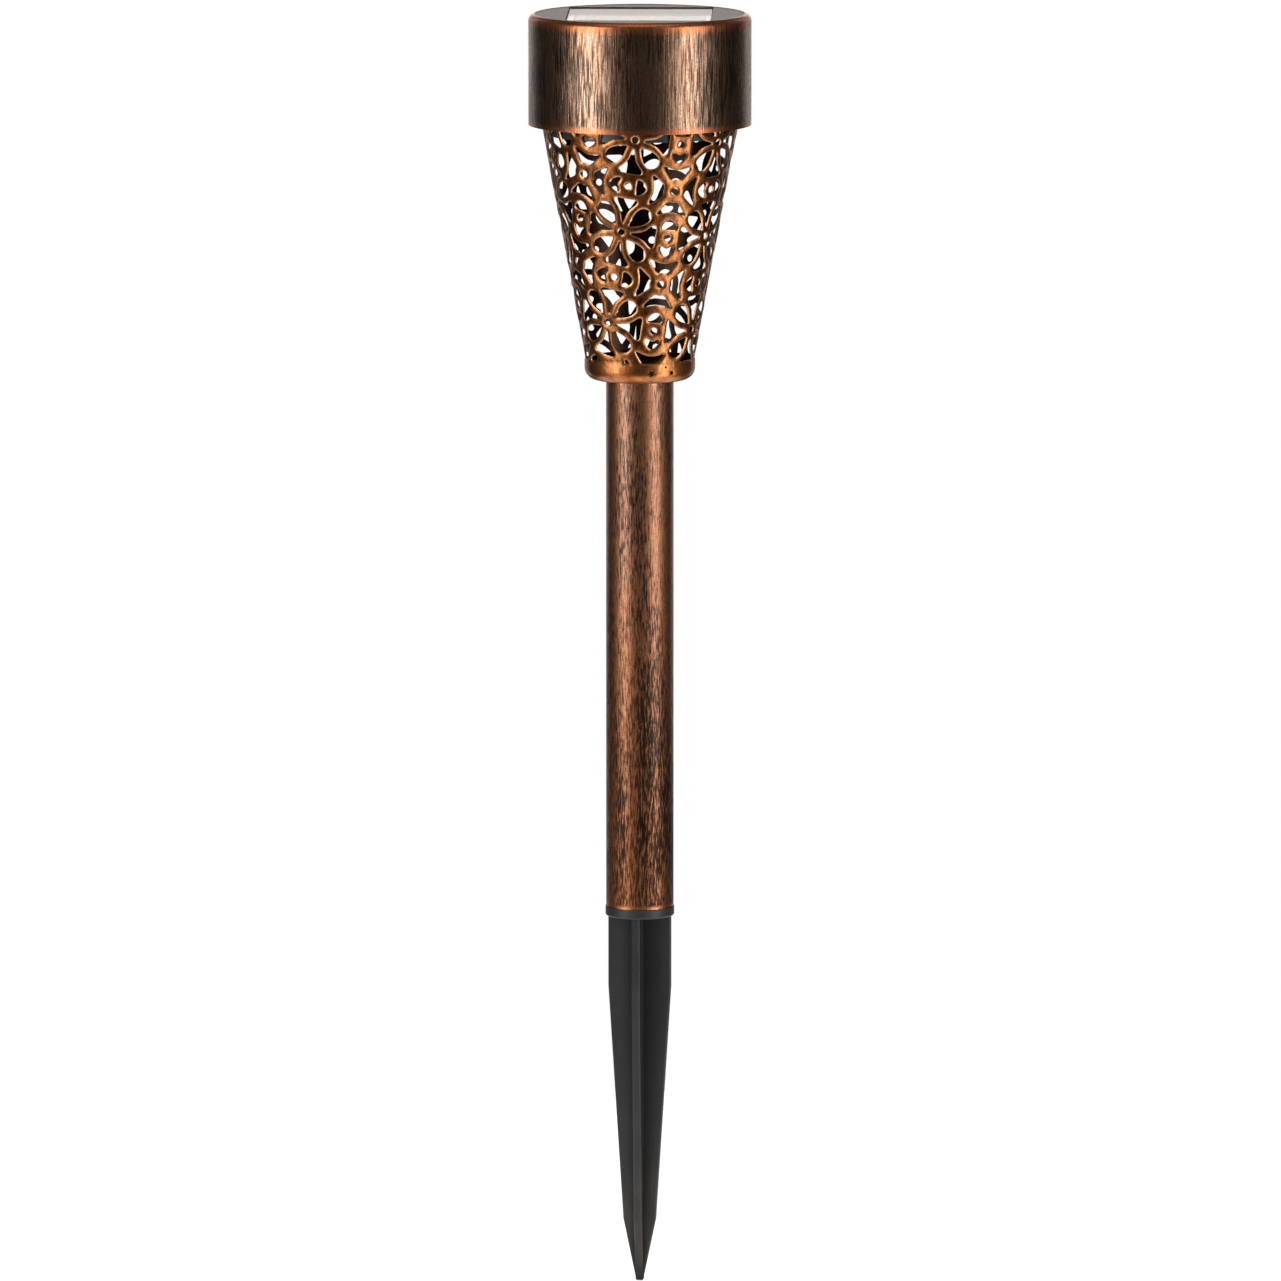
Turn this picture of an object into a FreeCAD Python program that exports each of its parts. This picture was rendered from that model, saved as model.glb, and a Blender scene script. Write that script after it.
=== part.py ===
# Solar garden stake light in the style of a torch. A copper-finished head with a solar panel on top
# stands on a cut-out metal shade, a tube pole and a ground spike with four blades.
# Millimetres, +Z up. The origin is on the pole's axis at ground level, where the underside of the
# spike's collar rests. The viewer stands on the -Y side, with +X to the right.
import FreeCAD, Part
import math
import os

V = FreeCAD.Vector
axis_point = V(0, 0, 0)
up = V(0, 0, 1)

# Heights of the main stations
ground_z = 0.0
collar_top = 2.7
shade_base = 152.4
band_top = 158.3
cap_base = 224.2
cap_top = 255.2
seat_gap = 0.1           # between two parts that pull apart, where one rests on the other
past = 1.0               # how far a cutting or joining body runs beyond the face it meets

# Ground spike
collar_r = 9.7
collar_round = 0.6
blade_thick = 2.3
blade_chamfer = 0.35
blade_turn = -8.0        # degrees that the cross of blades is turned about the axis
blade_outline = [(8.87, ground_z), (8.87, -20.2), (4.6, -87.2), (0.9, -104.9)]
plug_length = 22.0       # how far the spike's plug and the pole plug go into the tube
plug_disc = 1.6
plug_nose = 1.0

# Pole tube
tube_r = 9.5
tube_wall = 0.5
fit_gap = 0.05           # radial clearance of a push fit
tube_bore = tube_r - tube_wall
plug_r = tube_bore - fit_gap

# Pole plug, its screw and washer
plug_boss_r = 3.2
plug_wall = 1.6
plug_top_thick = 4.0
screw_hole_r = 1.6
screw_r = 1.2
screw_long = 16.5
core_r = 1.25
clear_r = 1.4            # clearance hole of a housing or board screw
washer_r = 5.0
washer_thick = 0.8
pan_r = 2.8
pan_high = 2.0
recess_wide = 0.6        # cross recess of every screw
recess_deep = 0.8

# Shade: a sheet-metal cone on a pressed bottom dish
sheet = 0.45
cone_slope = 0.18615     # radius gained for each millimetre of height
cone_apex = 76.147
shade_top = 229.0
band_r = 15.55
dish_round = 3.5
cone_angle = math.atan(cone_slope)

# Cut-out pattern, on the cone's sheet laid flat: a square lattice of four-petalled flowers
pitch = 27.1
lattice_turn = math.radians(8.6)
first_flower = (-5.4, 121.9)   # across the sheet from its middle line, and out from the cone's apex
edge_margin = 0.9
seam_margin = 1.6
solid_rim = 2.0
small_hole_r = 1.0
petal_half = 3.6
petal_bulge = 2.0
petal_reach = 6.6
crescent_half = 4.0
crescent_in = 2.3
crescent_out = -0.3
crescent_reach = 6.2
cutter_depth = 2.0
columns = range(-4, 5)
rows = range(-5, 3)

# Head: outer shell and panel housing
cap_r = 31.25
cap_sheet = 0.45
cap_round = 1.9
disc_r = 29.2
disc_top = 255.1
skin_gap = 0.2           # between the shell and the housing inside it
housing_wall = 1.7
housing_roof = 4.0
shoulder_high = 252.4
shoulder_end = 253.6
post_r = 2.6
post_core_end = 235.5

# Solar panel
panel_side = 40.0
pocket_side = 40.5
pocket_round = 0.4
pocket_deep = 2.6
panel_turn = -1.3        # degrees that the panel is turned about the axis
adhesive_thick = 0.2
adhesive_inset = 2.0
board_thick = 1.0
cell_thick = 0.2
cover_thick = 0.9
cell_count = 4
cell_gap = 0.8
cell_margin = 1.6
lead_port_r = 3.0
lead_port_y = -6.0
adhesive_port_r = 4.0

# Lower housing, which hangs inside the top of the shade
floor_low = 221.5
floor_high = 223.5
skirt_r = 26.3
skirt_wall = 1.5
flange_high = 231.3
flange_r = 30.4
seal_high = 231.9
box_wall = 1.2
box_half_x = 17.2
box_y = (5.8, 17.2)
box_ceiling = 236.4
door_from_x = -15.2
tab_half = 1.3
tab_gap = 0.3

# Screws that close the head
screw_ring_r = 21.5
screw_angles = (90, 200, 340)
head_r = 2.2
board_head_r = 1.9
head_high = 1.1
housing_screw_end = 233.5
board_screw_end = 223.7
counterbore_r = 2.5
counterbore_high = 222.7

# Circuit board and what it carries
pcb_low = 226.4
pcb_thick = 1.6
pcb_half_x = 15.0
pcb_y = (-19.0, 3.6)
pcb_top = pcb_low + pcb_thick
pcb_post_r = 2.0
pcb_posts = [(12.0, -16.5), (-12.0, -16.5)]
led_r = 2.5
led_rim_r = 2.9
led_rim_thick = 1.0
led_tip = 219.6
lens_r = 3.55
lens_bore = 2.8
lens_rim_r = 4.6
lens_tip = 216.6
lens_rim_thick = 0.8
chip_x = (-8.0, -3.0)
chip_y = (-8.0, -4.0)
chip_leg_y = (-9.0, -3.0)
chip_leg_x = (-7.6, -6.3, -5.0, -3.8)
chip_leg_wide = 0.4
chip_leg_high = 0.6
chip_z = (0.2, 1.6)      # above the board
coil_r = 1.5
coil_x = (3.5, 10.5)
coil_y = -8.0

# Slide switch: a body inside the floor and a ridged knob under it
switch_y = -13.0
slot_half = (2.6, 0.9)
switch_case_half = (4.3, 1.8)
switch_case_low = 223.6
switch_well_top = 225.0
stem_x = (-2.1, 0.1)
stem_half = 0.6
stem_z = (220.6, 224.7)
pad_x = (-3.0, 1.0)
pad_half = 1.3
pad_z = (219.9, 221.2)
ridge_x = (-2.6, -1.2, 0.2)
ridge_wide = 0.4
ridge_z = (219.5, 220.5)

# Battery and its contacts
battery_r = 5.25
battery_y = 11.5
battery_z = 230.45
battery_x = (-13.3, 15.9)
battery_nub = (1.6, 0.8)   # radius and length of the positive end
battery_round = 0.5
contact_thick = 0.4
contact_wide = 7.0
contact_low = 226.2
contact_high = 236.2
tab_top = 239.2
spring_r = 2.6
spring_wire_r = 0.3
spring_turns = 3

# Battery door
door_gap = 0.3
hinge_y = 7.1
hinge_z = 222.5
barrel_r = 1.0
hinge_pin_r = 0.6
hinge_pin_out = 0.7
door_thick = 1.8
tongue_y = (15.4, 16.2)
tongue_top = 225.9
tongue_half = 2.5
tongue_x = 1.0
latch_gap = 0.4
grip_x = (-3.0, 5.0)
grip_in = (2.4, 1.6)       # finger groove, in from the door's free edge
grip_deep = 0.5

lead_r = 0.6
bend_share = 0.45        # of the shorter run, that a lead's bend takes up on either side


def closed_wire(steps, place):
    # Closed outline. A step is a corner, or two corners for an arc through the first to the second.
    here = place(*steps[0])
    first = here
    edges = []
    for step in steps[1:]:
        if isinstance(step[0], tuple):
            there = place(*step[1])
            edges.append(Part.Arc(here, place(*step[0]), there).toShape())
        else:
            there = place(*step)
            edges.append(Part.LineSegment(here, there).toShape())
        here = there
    if here.distanceToPoint(first) > 0.001:
        edges.append(Part.LineSegment(here, first).toShape())
    return Part.Wire(edges)


def turned(*steps):
    # Solid of revolution of an outline of (radius, height) corners.
    profile = closed_wire(steps, lambda r, z: V(r, 0, z))
    return Part.Face(profile).revolve(axis_point, up, 360)


def arc_middle(centre, radius, degrees):
    # Point of a profile arc, by the angle from the outward direction.
    turn = math.radians(degrees)
    return (centre[0] + radius * math.cos(turn), centre[1] + radius * math.sin(turn))


def rod(radius, low, high, x=0.0, y=0.0):
    return Part.makeCylinder(radius, high - low, V(x, y, low))


def rod_x(radius, start, end, y, z):
    return Part.makeCylinder(radius, end - start, V(start, y, z), V(1, 0, 0))


def block(x, y, z):
    # Box between the low and high value on each axis.
    return Part.makeBox(x[1] - x[0], y[1] - y[0], z[1] - z[0], V(x[0], y[0], z[0]))


def square(side, low, high, corner=0.0):
    half = side / 2
    body = block((-half, half), (-half, half), (low, high))
    if corner:
        upright = [e for e in body.Edges if abs(e.tangentAt(e.FirstParameter).z) > 0.9]
        body = body.makeFillet(corner, upright)
    return body


def about_axis(shape, degrees):
    moved = shape.copy()
    moved.rotate(axis_point, up, degrees)
    return moved


def cross_recess(x, y, from_z, to_z, reach):
    half = recess_wide / 2
    first = block((x - reach, x + reach), (y - half, y + half), (from_z, to_z))
    second = block((x - half, x + half), (y - reach, y + reach), (from_z, to_z))
    return first.fuse(second)


# Ground spike

def blade_pair():
    right = [V(r, -blade_thick / 2, z) for r, z in blade_outline]
    left = [V(-r, -blade_thick / 2, z) for r, z in reversed(blade_outline)]
    plate = Part.Face(Part.makePolygon(right + left + right[:1])).extrude(V(0, blade_thick, 0))
    flat_edges = [e for e in plate.Edges if abs(e.tangentAt(e.FirstParameter).y) < 0.1]
    sides = [e for e in flat_edges if e.BoundBox.ZMin < ground_z - past]
    return plate.makeChamfer(blade_chamfer, sides)


def plug_ribs():
    top = collar_top + plug_length
    rib = block((-plug_r, plug_r), (-blade_thick / 2, blade_thick / 2), (collar_top - past, top))
    return rib.common(rod(plug_r, collar_top - past, top))


def ground_spike():
    collar = turned(
        (0, ground_z),
        (collar_r - collar_round, ground_z),
        (arc_middle((collar_r - collar_round, collar_round), collar_round, -45), (collar_r, collar_round)),
        (collar_r, collar_top),
        (0, collar_top),
    )
    top = collar_top + plug_length
    nose = turned(
        (0, top - plug_disc),
        (plug_r, top - plug_disc),
        (plug_r, top),
        (plug_r - plug_nose, top + plug_nose),
        (0, top + plug_nose),
    )
    cross = blade_pair().fuse(plug_ribs())
    cross = cross.fuse(about_axis(cross, 90))
    return about_axis(collar.fuse([cross, nose]).removeSplitter(), blade_turn)


# Pole

def pole_tube():
    low = collar_top + seat_gap
    high = shade_base - seat_gap
    return rod(tube_r, low, high).cut(rod(tube_bore, low, high))


def pole_plug():
    low = shade_base - plug_length
    roof = shade_base - plug_top_thick
    return turned(
        (core_r, low),
        (plug_boss_r, low),
        (plug_boss_r, roof),
        (plug_r - plug_wall, roof),
        (plug_r - plug_wall, low),
        (plug_r, low),
        (plug_r, shade_base),
        (core_r, shade_base),
    )


def plug_washer():
    low = shade_base + sheet
    return rod(washer_r, low, low + washer_thick).cut(rod(screw_hole_r, low, low + washer_thick))


def plug_screw():
    seat = shade_base + sheet + washer_thick
    crown = seat + pan_high
    head = turned(
        (0, seat),
        (pan_r, seat),
        (pan_r, seat + pan_high / 2),
        ((pan_r * 0.8, crown - pan_high * 0.12), (pan_r * 0.45, crown)),
        (0, crown),
    )
    shank = rod(screw_r, shade_base - screw_long, seat)
    return head.fuse(shank).cut(cross_recess(0, 0, crown - recess_deep, crown + past, pan_r * 0.5))


# Shade

def cone_radius(z):
    return cone_slope * (z - cone_apex)


def shade_shell():
    dish = dish_round - sheet
    centre = (band_r - dish_round, shade_base + dish_round)
    inner_band = band_r - sheet
    return turned(
        (screw_hole_r, shade_base),
        (band_r - dish_round, shade_base),
        (arc_middle(centre, dish_round, -45), (band_r, shade_base + dish_round)),
        (band_r, band_top),
        (cone_radius(band_top), band_top),
        (cone_radius(shade_top), shade_top),
        (cone_radius(shade_top) - sheet, shade_top),
        (cone_radius(band_top) - sheet, band_top),
        (inner_band, band_top - sheet),
        (inner_band, shade_base + dish_round),
        (arc_middle(centre, dish, -45), (centre[0], shade_base + sheet)),
        (screw_hole_r, shade_base + sheet),
    )


def outline(*steps):
    # Flat outline of (u, v) corners.
    return closed_wire(steps, lambda u, v: V(u, v, 0))


def dot(radius):
    return Part.Wire(Part.Circle(V(0, 0, 0), up, radius).toShape())


def lens(half_long, bulge_left, bulge_right):
    # Pointed opening of two arcs, long along +v, drawn about its own middle.
    tip = (0, half_long)
    return outline((0, -half_long), ((bulge_right, 0), tip), ((-bulge_left, 0), (0, -half_long)))


# The lattice's openings: the outline, its place in a cell as (across, up) from the flower, and its turn.
def cell_holes():
    half = pitch / 2
    holes = [(dot(small_hole_r), (0, 0), 0), (dot(small_hole_r), (half, half), 0)]
    for quarter in range(4):
        straight = 90 * quarter
        slant = straight + 45
        petal = lens(petal_half, petal_bulge, petal_bulge)
        holes.append((petal, polar(petal_reach, slant), slant - 90))
        reach = polar(crescent_reach, straight)
        crescent = lens(crescent_half, crescent_in, crescent_out)
        holes.append((crescent, (half + reach[0], half + reach[1]), straight))
    return holes


def polar(distance, degrees):
    turn = math.radians(degrees)
    return (distance * math.cos(turn), distance * math.sin(turn))


def on_sheet(column, row, offset):
    # A point of the lattice on the flat sheet, with the apex at the origin and the middle line up.
    u = column * pitch + offset[0]
    v = row * pitch + offset[1]
    c, s = math.cos(lattice_turn), math.sin(lattice_turn)
    return first_flower[0] + u * c + v * s, first_flower[1] - u * s + v * c


def inside_sheet(wire, x, y, turn):
    half_sector = math.pi * math.sin(cone_angle)
    rho_low = (band_top - cone_apex) / math.cos(cone_angle) + edge_margin
    rho_high = (shade_top - solid_rim - cone_apex) / math.cos(cone_angle) - edge_margin
    c, s = math.cos(turn), math.sin(turn)
    for edge in wire.Edges:
        for p in edge.discretize(6):
            px, py = x + p.x * c - p.y * s, y + p.x * s + p.y * c
            rho = math.hypot(px, py)
            phi = abs(math.atan2(px, py))
            if not rho_low < rho < rho_high or (half_sector - phi) * rho < seam_margin:
                return False
    return True


def cutter(wire, x, y, turn):
    # A prism through the cone's wall, square to it at the sheet point (x, y).
    rho = math.hypot(x, y)
    phi = math.atan2(x, y)
    theta = phi / math.sin(cone_angle)
    outward = V(math.sin(theta), -math.cos(theta), 0)
    centre = V(0, 0, cone_apex + rho * math.cos(cone_angle)) + outward * (rho * math.sin(cone_angle))
    round_way = V(math.cos(theta), math.sin(theta), 0)
    slant = V(0, 0, math.cos(cone_angle)) + outward * math.sin(cone_angle)
    across = round_way * math.cos(phi) + slant * math.sin(phi)
    along = slant * math.cos(phi) - round_way * math.sin(phi)
    way_u = across * math.cos(turn) + along * math.sin(turn)
    way_v = along * math.cos(turn) - across * math.sin(turn)
    normal = way_u.cross(way_v)
    frame = FreeCAD.Matrix()
    start = centre - normal * cutter_depth
    frame.A11, frame.A21, frame.A31 = way_u.x, way_u.y, way_u.z
    frame.A12, frame.A22, frame.A32 = way_v.x, way_v.y, way_v.z
    frame.A13, frame.A23, frame.A33 = normal.x, normal.y, normal.z
    frame.A14, frame.A24, frame.A34 = start.x, start.y, start.z
    placed = wire.copy()
    placed.transformShape(frame)
    return Part.Face(placed).extrude(normal * (2 * cutter_depth))


def shade_cutters():
    cutters = []
    for column in columns:
        for row in rows:
            for wire, offset, degrees in cell_holes():
                x, y = on_sheet(column, row, offset)
                turn = math.radians(degrees) - lattice_turn
                if inside_sheet(wire, x, y, turn):
                    cutters.append(cutter(wire, x, y, turn))
    return cutters


def filigree_shade():
    return shade_shell().cut(shade_cutters())


# Head, outside

def cap_shell():
    inner_round = cap_round - cap_sheet
    centre = (cap_r - cap_round, cap_top - cap_round)
    return turned(
        (cap_r, cap_base),
        (cap_r, centre[1]),
        (arc_middle(centre, cap_round, 45), (centre[0], cap_top)),
        (centre[0], cap_top - cap_sheet),
        (arc_middle(centre, inner_round, 45), (cap_r - cap_sheet, centre[1])),
        (cap_r - cap_sheet, cap_base),
    )


def screw_places():
    return [polar(screw_ring_r, degrees) for degrees in screw_angles]


def panel_housing():
    outer = cap_r - cap_sheet - skin_gap
    roof = disc_top - housing_roof
    body = turned(
        (0, disc_top),
        (disc_r, disc_top),
        (disc_r, shoulder_end),
        (outer, shoulder_high),
        (outer, seal_high),
        (outer - housing_wall, seal_high),
        (outer - housing_wall, roof),
        (0, roof),
    )
    posts = [rod(post_r, floor_high, roof + past, x, y) for x, y in screw_places()]
    cores = [rod(core_r, floor_high, post_core_end, x, y) for x, y in screw_places()]
    pocket = square(pocket_side, disc_top - pocket_deep, disc_top + past, pocket_round)
    pocket = about_axis(pocket, panel_turn)
    port = rod(lead_port_r, roof - past, disc_top, 0, lead_port_y)
    return body.fuse(posts).cut(cores + [pocket, port])


# Solar panel, from the pocket's floor up

def panel_layer(side, start, thick):
    low = disc_top - pocket_deep + start
    return about_axis(square(side, low, low + thick), panel_turn)


def panel_adhesive():
    pad = panel_layer(panel_side - 2 * adhesive_inset, 0, adhesive_thick)
    low = disc_top - pocket_deep
    return pad.cut(rod(adhesive_port_r, low - past, low + past, 0, lead_port_y))


def solar_board():
    return panel_layer(panel_side, adhesive_thick, board_thick)


def solar_cells():
    low = disc_top - pocket_deep + adhesive_thick + board_thick
    span = panel_side - 2 * cell_margin
    wide = (span - (cell_count - 1) * cell_gap) / cell_count
    cells = []
    for index in range(cell_count):
        start = -span / 2 + index * (wide + cell_gap)
        cell = block((-span / 2, span / 2), (start, start + wide), (low, low + cell_thick))
        cells.append(about_axis(cell, panel_turn))
    return Part.makeCompound(cells)


def solar_cover():
    return panel_layer(panel_side, adhesive_thick + board_thick + cell_thick, cover_thick)


# Head, underside

def battery_box():
    outer = block(
        (-box_half_x - box_wall, box_half_x + box_wall),
        (box_y[0] - box_wall, box_y[1] + box_wall),
        (floor_low, box_ceiling + box_wall),
    )
    return outer.common(rod(skirt_r, floor_low, box_ceiling + box_wall))


def lower_housing():
    cup = turned(
        (0, floor_low),
        (skirt_r, floor_low),
        (skirt_r, shade_top + seat_gap),
        (flange_r, shade_top + seat_gap),
        (flange_r, flange_high),
        (skirt_r - skirt_wall, flange_high),
        (skirt_r - skirt_wall, floor_high),
        (0, floor_high),
    )
    posts = [rod(pcb_post_r, floor_high - past, pcb_low, x, y) for x, y in pcb_posts]
    body = cup.fuse([battery_box()] + posts)
    cuts = [
        block((-box_half_x, box_half_x), box_y, (floor_high, box_ceiling)),
        block((door_from_x, box_half_x), box_y, (floor_low - past, floor_high + past)),
        rod(lens_r + fit_gap, floor_low - past, floor_high + past),
        switch_slot(floor_low - past, floor_high + past),
        hinge_rod(hinge_pin_r + fit_gap, hinge_pin_out + tab_gap),
    ]
    cuts += [tab_slot(side) for side in (-1, 1)]
    cuts += [rod(core_r, floor_high, pcb_low + past, x, y) for x, y in pcb_posts]
    for x, y in screw_places():
        cuts.append(rod(clear_r, floor_low - past, floor_high + past, x, y))
        cuts.append(rod(counterbore_r, floor_low - past, counterbore_high, x, y))
    return body.cut(cuts).removeSplitter()


def tab_slot(side):
    # Slot in the battery box's ceiling that a contact's solder tab comes out of.
    ends = sorted([side * box_half_x, side * (box_half_x - contact_thick - tab_gap)])
    half = tab_half + tab_gap
    heights = (box_ceiling - past, box_ceiling + box_wall + past)
    return block(ends, (battery_y - half, battery_y + half), heights)


def switch_slot(low, high):
    half_x, half_y = slot_half
    return block((-half_x, half_x), (switch_y - half_y, switch_y + half_y), (low, high))


def hinge_rod(radius, out):
    return rod_x(radius, door_from_x - out + door_gap, box_half_x - door_gap + out, hinge_y, hinge_z)


def housing_seal():
    outer = cap_r - cap_sheet - skin_gap
    ring = rod(outer - skin_gap, flange_high, seal_high)
    return ring.cut(rod(outer - housing_wall, flange_high, seal_high))


def housing_screws():
    screws = []
    seat = counterbore_high
    for x, y in screw_places():
        head = rod(head_r, seat - head_high, seat, x, y)
        shank = rod(screw_r, seat, housing_screw_end, x, y)
        recess = cross_recess(x, y, seat - head_high - past, seat - head_high + recess_deep, head_r * 0.6)
        screws.append(head.fuse(shank).cut(recess))
    return Part.makeCompound(screws)


# Circuit board and what it carries

def circuit_board():
    board = block((-pcb_half_x, pcb_half_x), pcb_y, (pcb_low, pcb_top))
    return board.cut([rod(clear_r, pcb_low - past, pcb_top + past, x, y) for x, y in pcb_posts])


def board_screws():
    screws = []
    for x, y in pcb_posts:
        crown = pcb_top + head_high
        head = rod(board_head_r, pcb_top, crown, x, y)
        shank = rod(screw_r, board_screw_end, pcb_top, x, y)
        recess = cross_recess(x, y, crown - recess_deep, crown + past, head_r * 0.5)
        screws.append(head.fuse(shank).cut(recess))
    return Part.makeCompound(screws)


def driver_chip():
    body = block(chip_x, chip_y, (pcb_top + chip_z[0], pcb_top + chip_z[1]))
    leg_z = (pcb_top, pcb_top + chip_leg_high)
    return body.fuse([block((x, x + chip_leg_wide), chip_leg_y, leg_z) for x in chip_leg_x])


def choke_coil():
    return rod_x(coil_r, coil_x[0], coil_x[1], coil_y, pcb_top + coil_r)


def led():
    shoulder = led_tip + led_r
    dome = arc_middle((0, shoulder), led_r, -45)
    return turned(
        (0, led_tip),
        (dome, (led_r, shoulder)),
        (led_r, pcb_low - led_rim_thick),
        (led_rim_r, pcb_low - led_rim_thick),
        (led_rim_r, pcb_low),
        (0, pcb_low),
    )


def led_lens():
    low = lens_tip + lens_r
    return turned(
        (0, lens_tip),
        (arc_middle((0, low), lens_r, -45), (lens_r, low)),
        (lens_r, floor_high),
        (lens_rim_r, floor_high),
        (lens_rim_r, floor_high + lens_rim_thick),
        (lens_bore, floor_high + lens_rim_thick),
        (lens_bore, low),
        (arc_middle((0, low), lens_bore, -45), (0, low - lens_bore)),
    )


def switch_body():
    half_x, half_y = switch_case_half
    case = block((-half_x, half_x), (switch_y - half_y, switch_y + half_y), (switch_case_low, pcb_low))
    return case.cut(switch_slot(floor_high - past, switch_well_top))


def switch_knob():
    pad_y = (switch_y - pad_half, switch_y + pad_half)
    stem = block(stem_x, (switch_y - stem_half, switch_y + stem_half), stem_z)
    pad = block(pad_x, pad_y, pad_z)
    ridges = [block((x, x + ridge_wide), pad_y, ridge_z) for x in ridge_x]
    return stem.fuse([pad] + ridges)


# Battery, contacts and door

def battery():
    nub_r, nub_long = battery_nub
    can = rod_x(battery_r, battery_x[0], battery_x[1], battery_y, battery_z)
    rims = [e for e in can.Edges if isinstance(e.Curve, Part.Circle)]
    can = can.makeFillet(battery_round, rims)
    nub = rod_x(nub_r, battery_x[1] - battery_round, battery_x[1] + nub_long, battery_y, battery_z)
    return can.fuse(nub)


def contact_plate(side):
    ends = sorted([side * box_half_x, side * (box_half_x - contact_thick)])
    half = contact_wide / 2
    face = block(ends, (battery_y - half, battery_y + half), (contact_low, contact_high))
    tab = block(ends, (battery_y - tab_half, battery_y + tab_half), (contact_high - past, tab_top))
    return face.fuse(tab).removeSplitter()


def battery_plate():
    return contact_plate(1)


def battery_spring():
    start = -box_half_x + contact_thick
    length = battery_x[0] - start - fit_gap - 2 * spring_wire_r
    coil = Part.makeHelix(length / spring_turns, length, spring_r)
    section = Part.Wire(Part.Circle(V(spring_r, 0, 0), V(0, 1, 0), spring_wire_r).toShape())
    wire = Part.Wire(coil.Edges).makePipeShell([section], True, True)
    wire.rotate(V(0, 0, 0), V(0, 1, 0), 90)
    wire.translate(V(start + spring_wire_r * 0.8, battery_y, battery_z))
    return contact_plate(-1).fuse(wire)


def battery_door():
    ends = (door_from_x + door_gap, box_half_x - door_gap)
    edge = box_y[1] - latch_gap
    low = hinge_z - barrel_r
    plate = block(ends, (hinge_y, edge), (low, low + door_thick))
    barrel = rod_x(barrel_r, ends[0], ends[1], hinge_y, hinge_z)
    tongue = block((tongue_x - tongue_half, tongue_x + tongue_half), tongue_y, (hinge_z, tongue_top))
    pins = hinge_rod(hinge_pin_r, hinge_pin_out)
    grip = block(grip_x, (edge - grip_in[0], edge - grip_in[1]), (low - past, low + grip_deep))
    return plate.fuse([barrel, tongue, pins]).cut(grip).removeSplitter()


# Leads: straight runs joined by tangent arcs

def lead(points):
    corners = [V(*p) for p in points]
    runs = [b - a for a, b in zip(corners, corners[1:])]
    edges = []
    here = corners[0]
    for index in range(1, len(corners) - 1):
        before, after = runs[index - 1], runs[index]
        half_turn = before.getAngle(after) / 2
        cut_back = bend_share * min(before.Length, after.Length)
        way_in, way_out = V(before).normalize(), V(after).normalize()
        start = corners[index] - way_in * cut_back
        end = corners[index] + way_out * cut_back
        radius = cut_back / math.tan(half_turn)
        bisector = (way_out - way_in).normalize()
        middle = corners[index] + bisector * (radius / math.cos(half_turn) - radius)
        edges.append(Part.LineSegment(here, start).toShape())
        edges.append(Part.Arc(start, middle, end).toShape())
        here = end
    edges.append(Part.LineSegment(here, corners[-1]).toShape())
    path = Part.Wire(edges)
    section = Part.Wire(Part.Circle(corners[0], runs[0], lead_r).toShape())
    return path.makePipeShell([section], True, False)


def mirrored(points):
    return [(-x, y, z) for x, y, z in points]


panel_board_low = disc_top - pocket_deep + adhesive_thick
panel_route = [
    (1.5, lead_port_y, panel_board_low),
    (1.5, lead_port_y, 246),
    (8, -12, 240),
    (9, -14, 234),
    (9, -14, pcb_top),
]
battery_route = [
    (17, battery_y, tab_top),
    (17, battery_y, 243.5),
    (14, 3, 245),
    (12, -4, 240),
    (12, -5, 234),
    (12, -5, pcb_top),
]

parts = {
    "ground_spike": ground_spike,
    "pole_tube": pole_tube,
    "pole_plug": pole_plug,
    "plug_washer": plug_washer,
    "plug_screw": plug_screw,
    "filigree_shade": filigree_shade,
    "cap_shell": cap_shell,
    "panel_housing": panel_housing,
    "panel_adhesive": panel_adhesive,
    "solar_board": solar_board,
    "solar_cells": solar_cells,
    "solar_cover": solar_cover,
    "lower_housing": lower_housing,
    "housing_seal": housing_seal,
    "housing_screws": housing_screws,
    "circuit_board": circuit_board,
    "board_screws": board_screws,
    "driver_chip": driver_chip,
    "choke_coil": choke_coil,
    "led": led,
    "led_lens": led_lens,
    "switch_body": switch_body,
    "switch_knob": switch_knob,
    "battery": battery,
    "battery_plate": battery_plate,
    "battery_spring": battery_spring,
    "battery_door": battery_door,
    "panel_lead_red": lambda: lead(panel_route),
    "panel_lead_black": lambda: lead(mirrored(panel_route)),
    "battery_lead_red": lambda: lead(battery_route),
    "battery_lead_black": lambda: lead(mirrored(battery_route)),
}

os.makedirs("parts", exist_ok=True)
for node, make in parts.items():
    shape = make()
    solids = len(shape.Solids)
    print(node, "solids", solids, "valid", shape.isValid(), "volume", round(shape.Volume, 1))
    shape.exportStep("parts/" + node + ".step")
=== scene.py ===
import bpy
import bmesh
import math
import numpy as np
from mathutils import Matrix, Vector, kdtree
from mathutils.geometry import delaunay_2d_cdt


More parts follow.
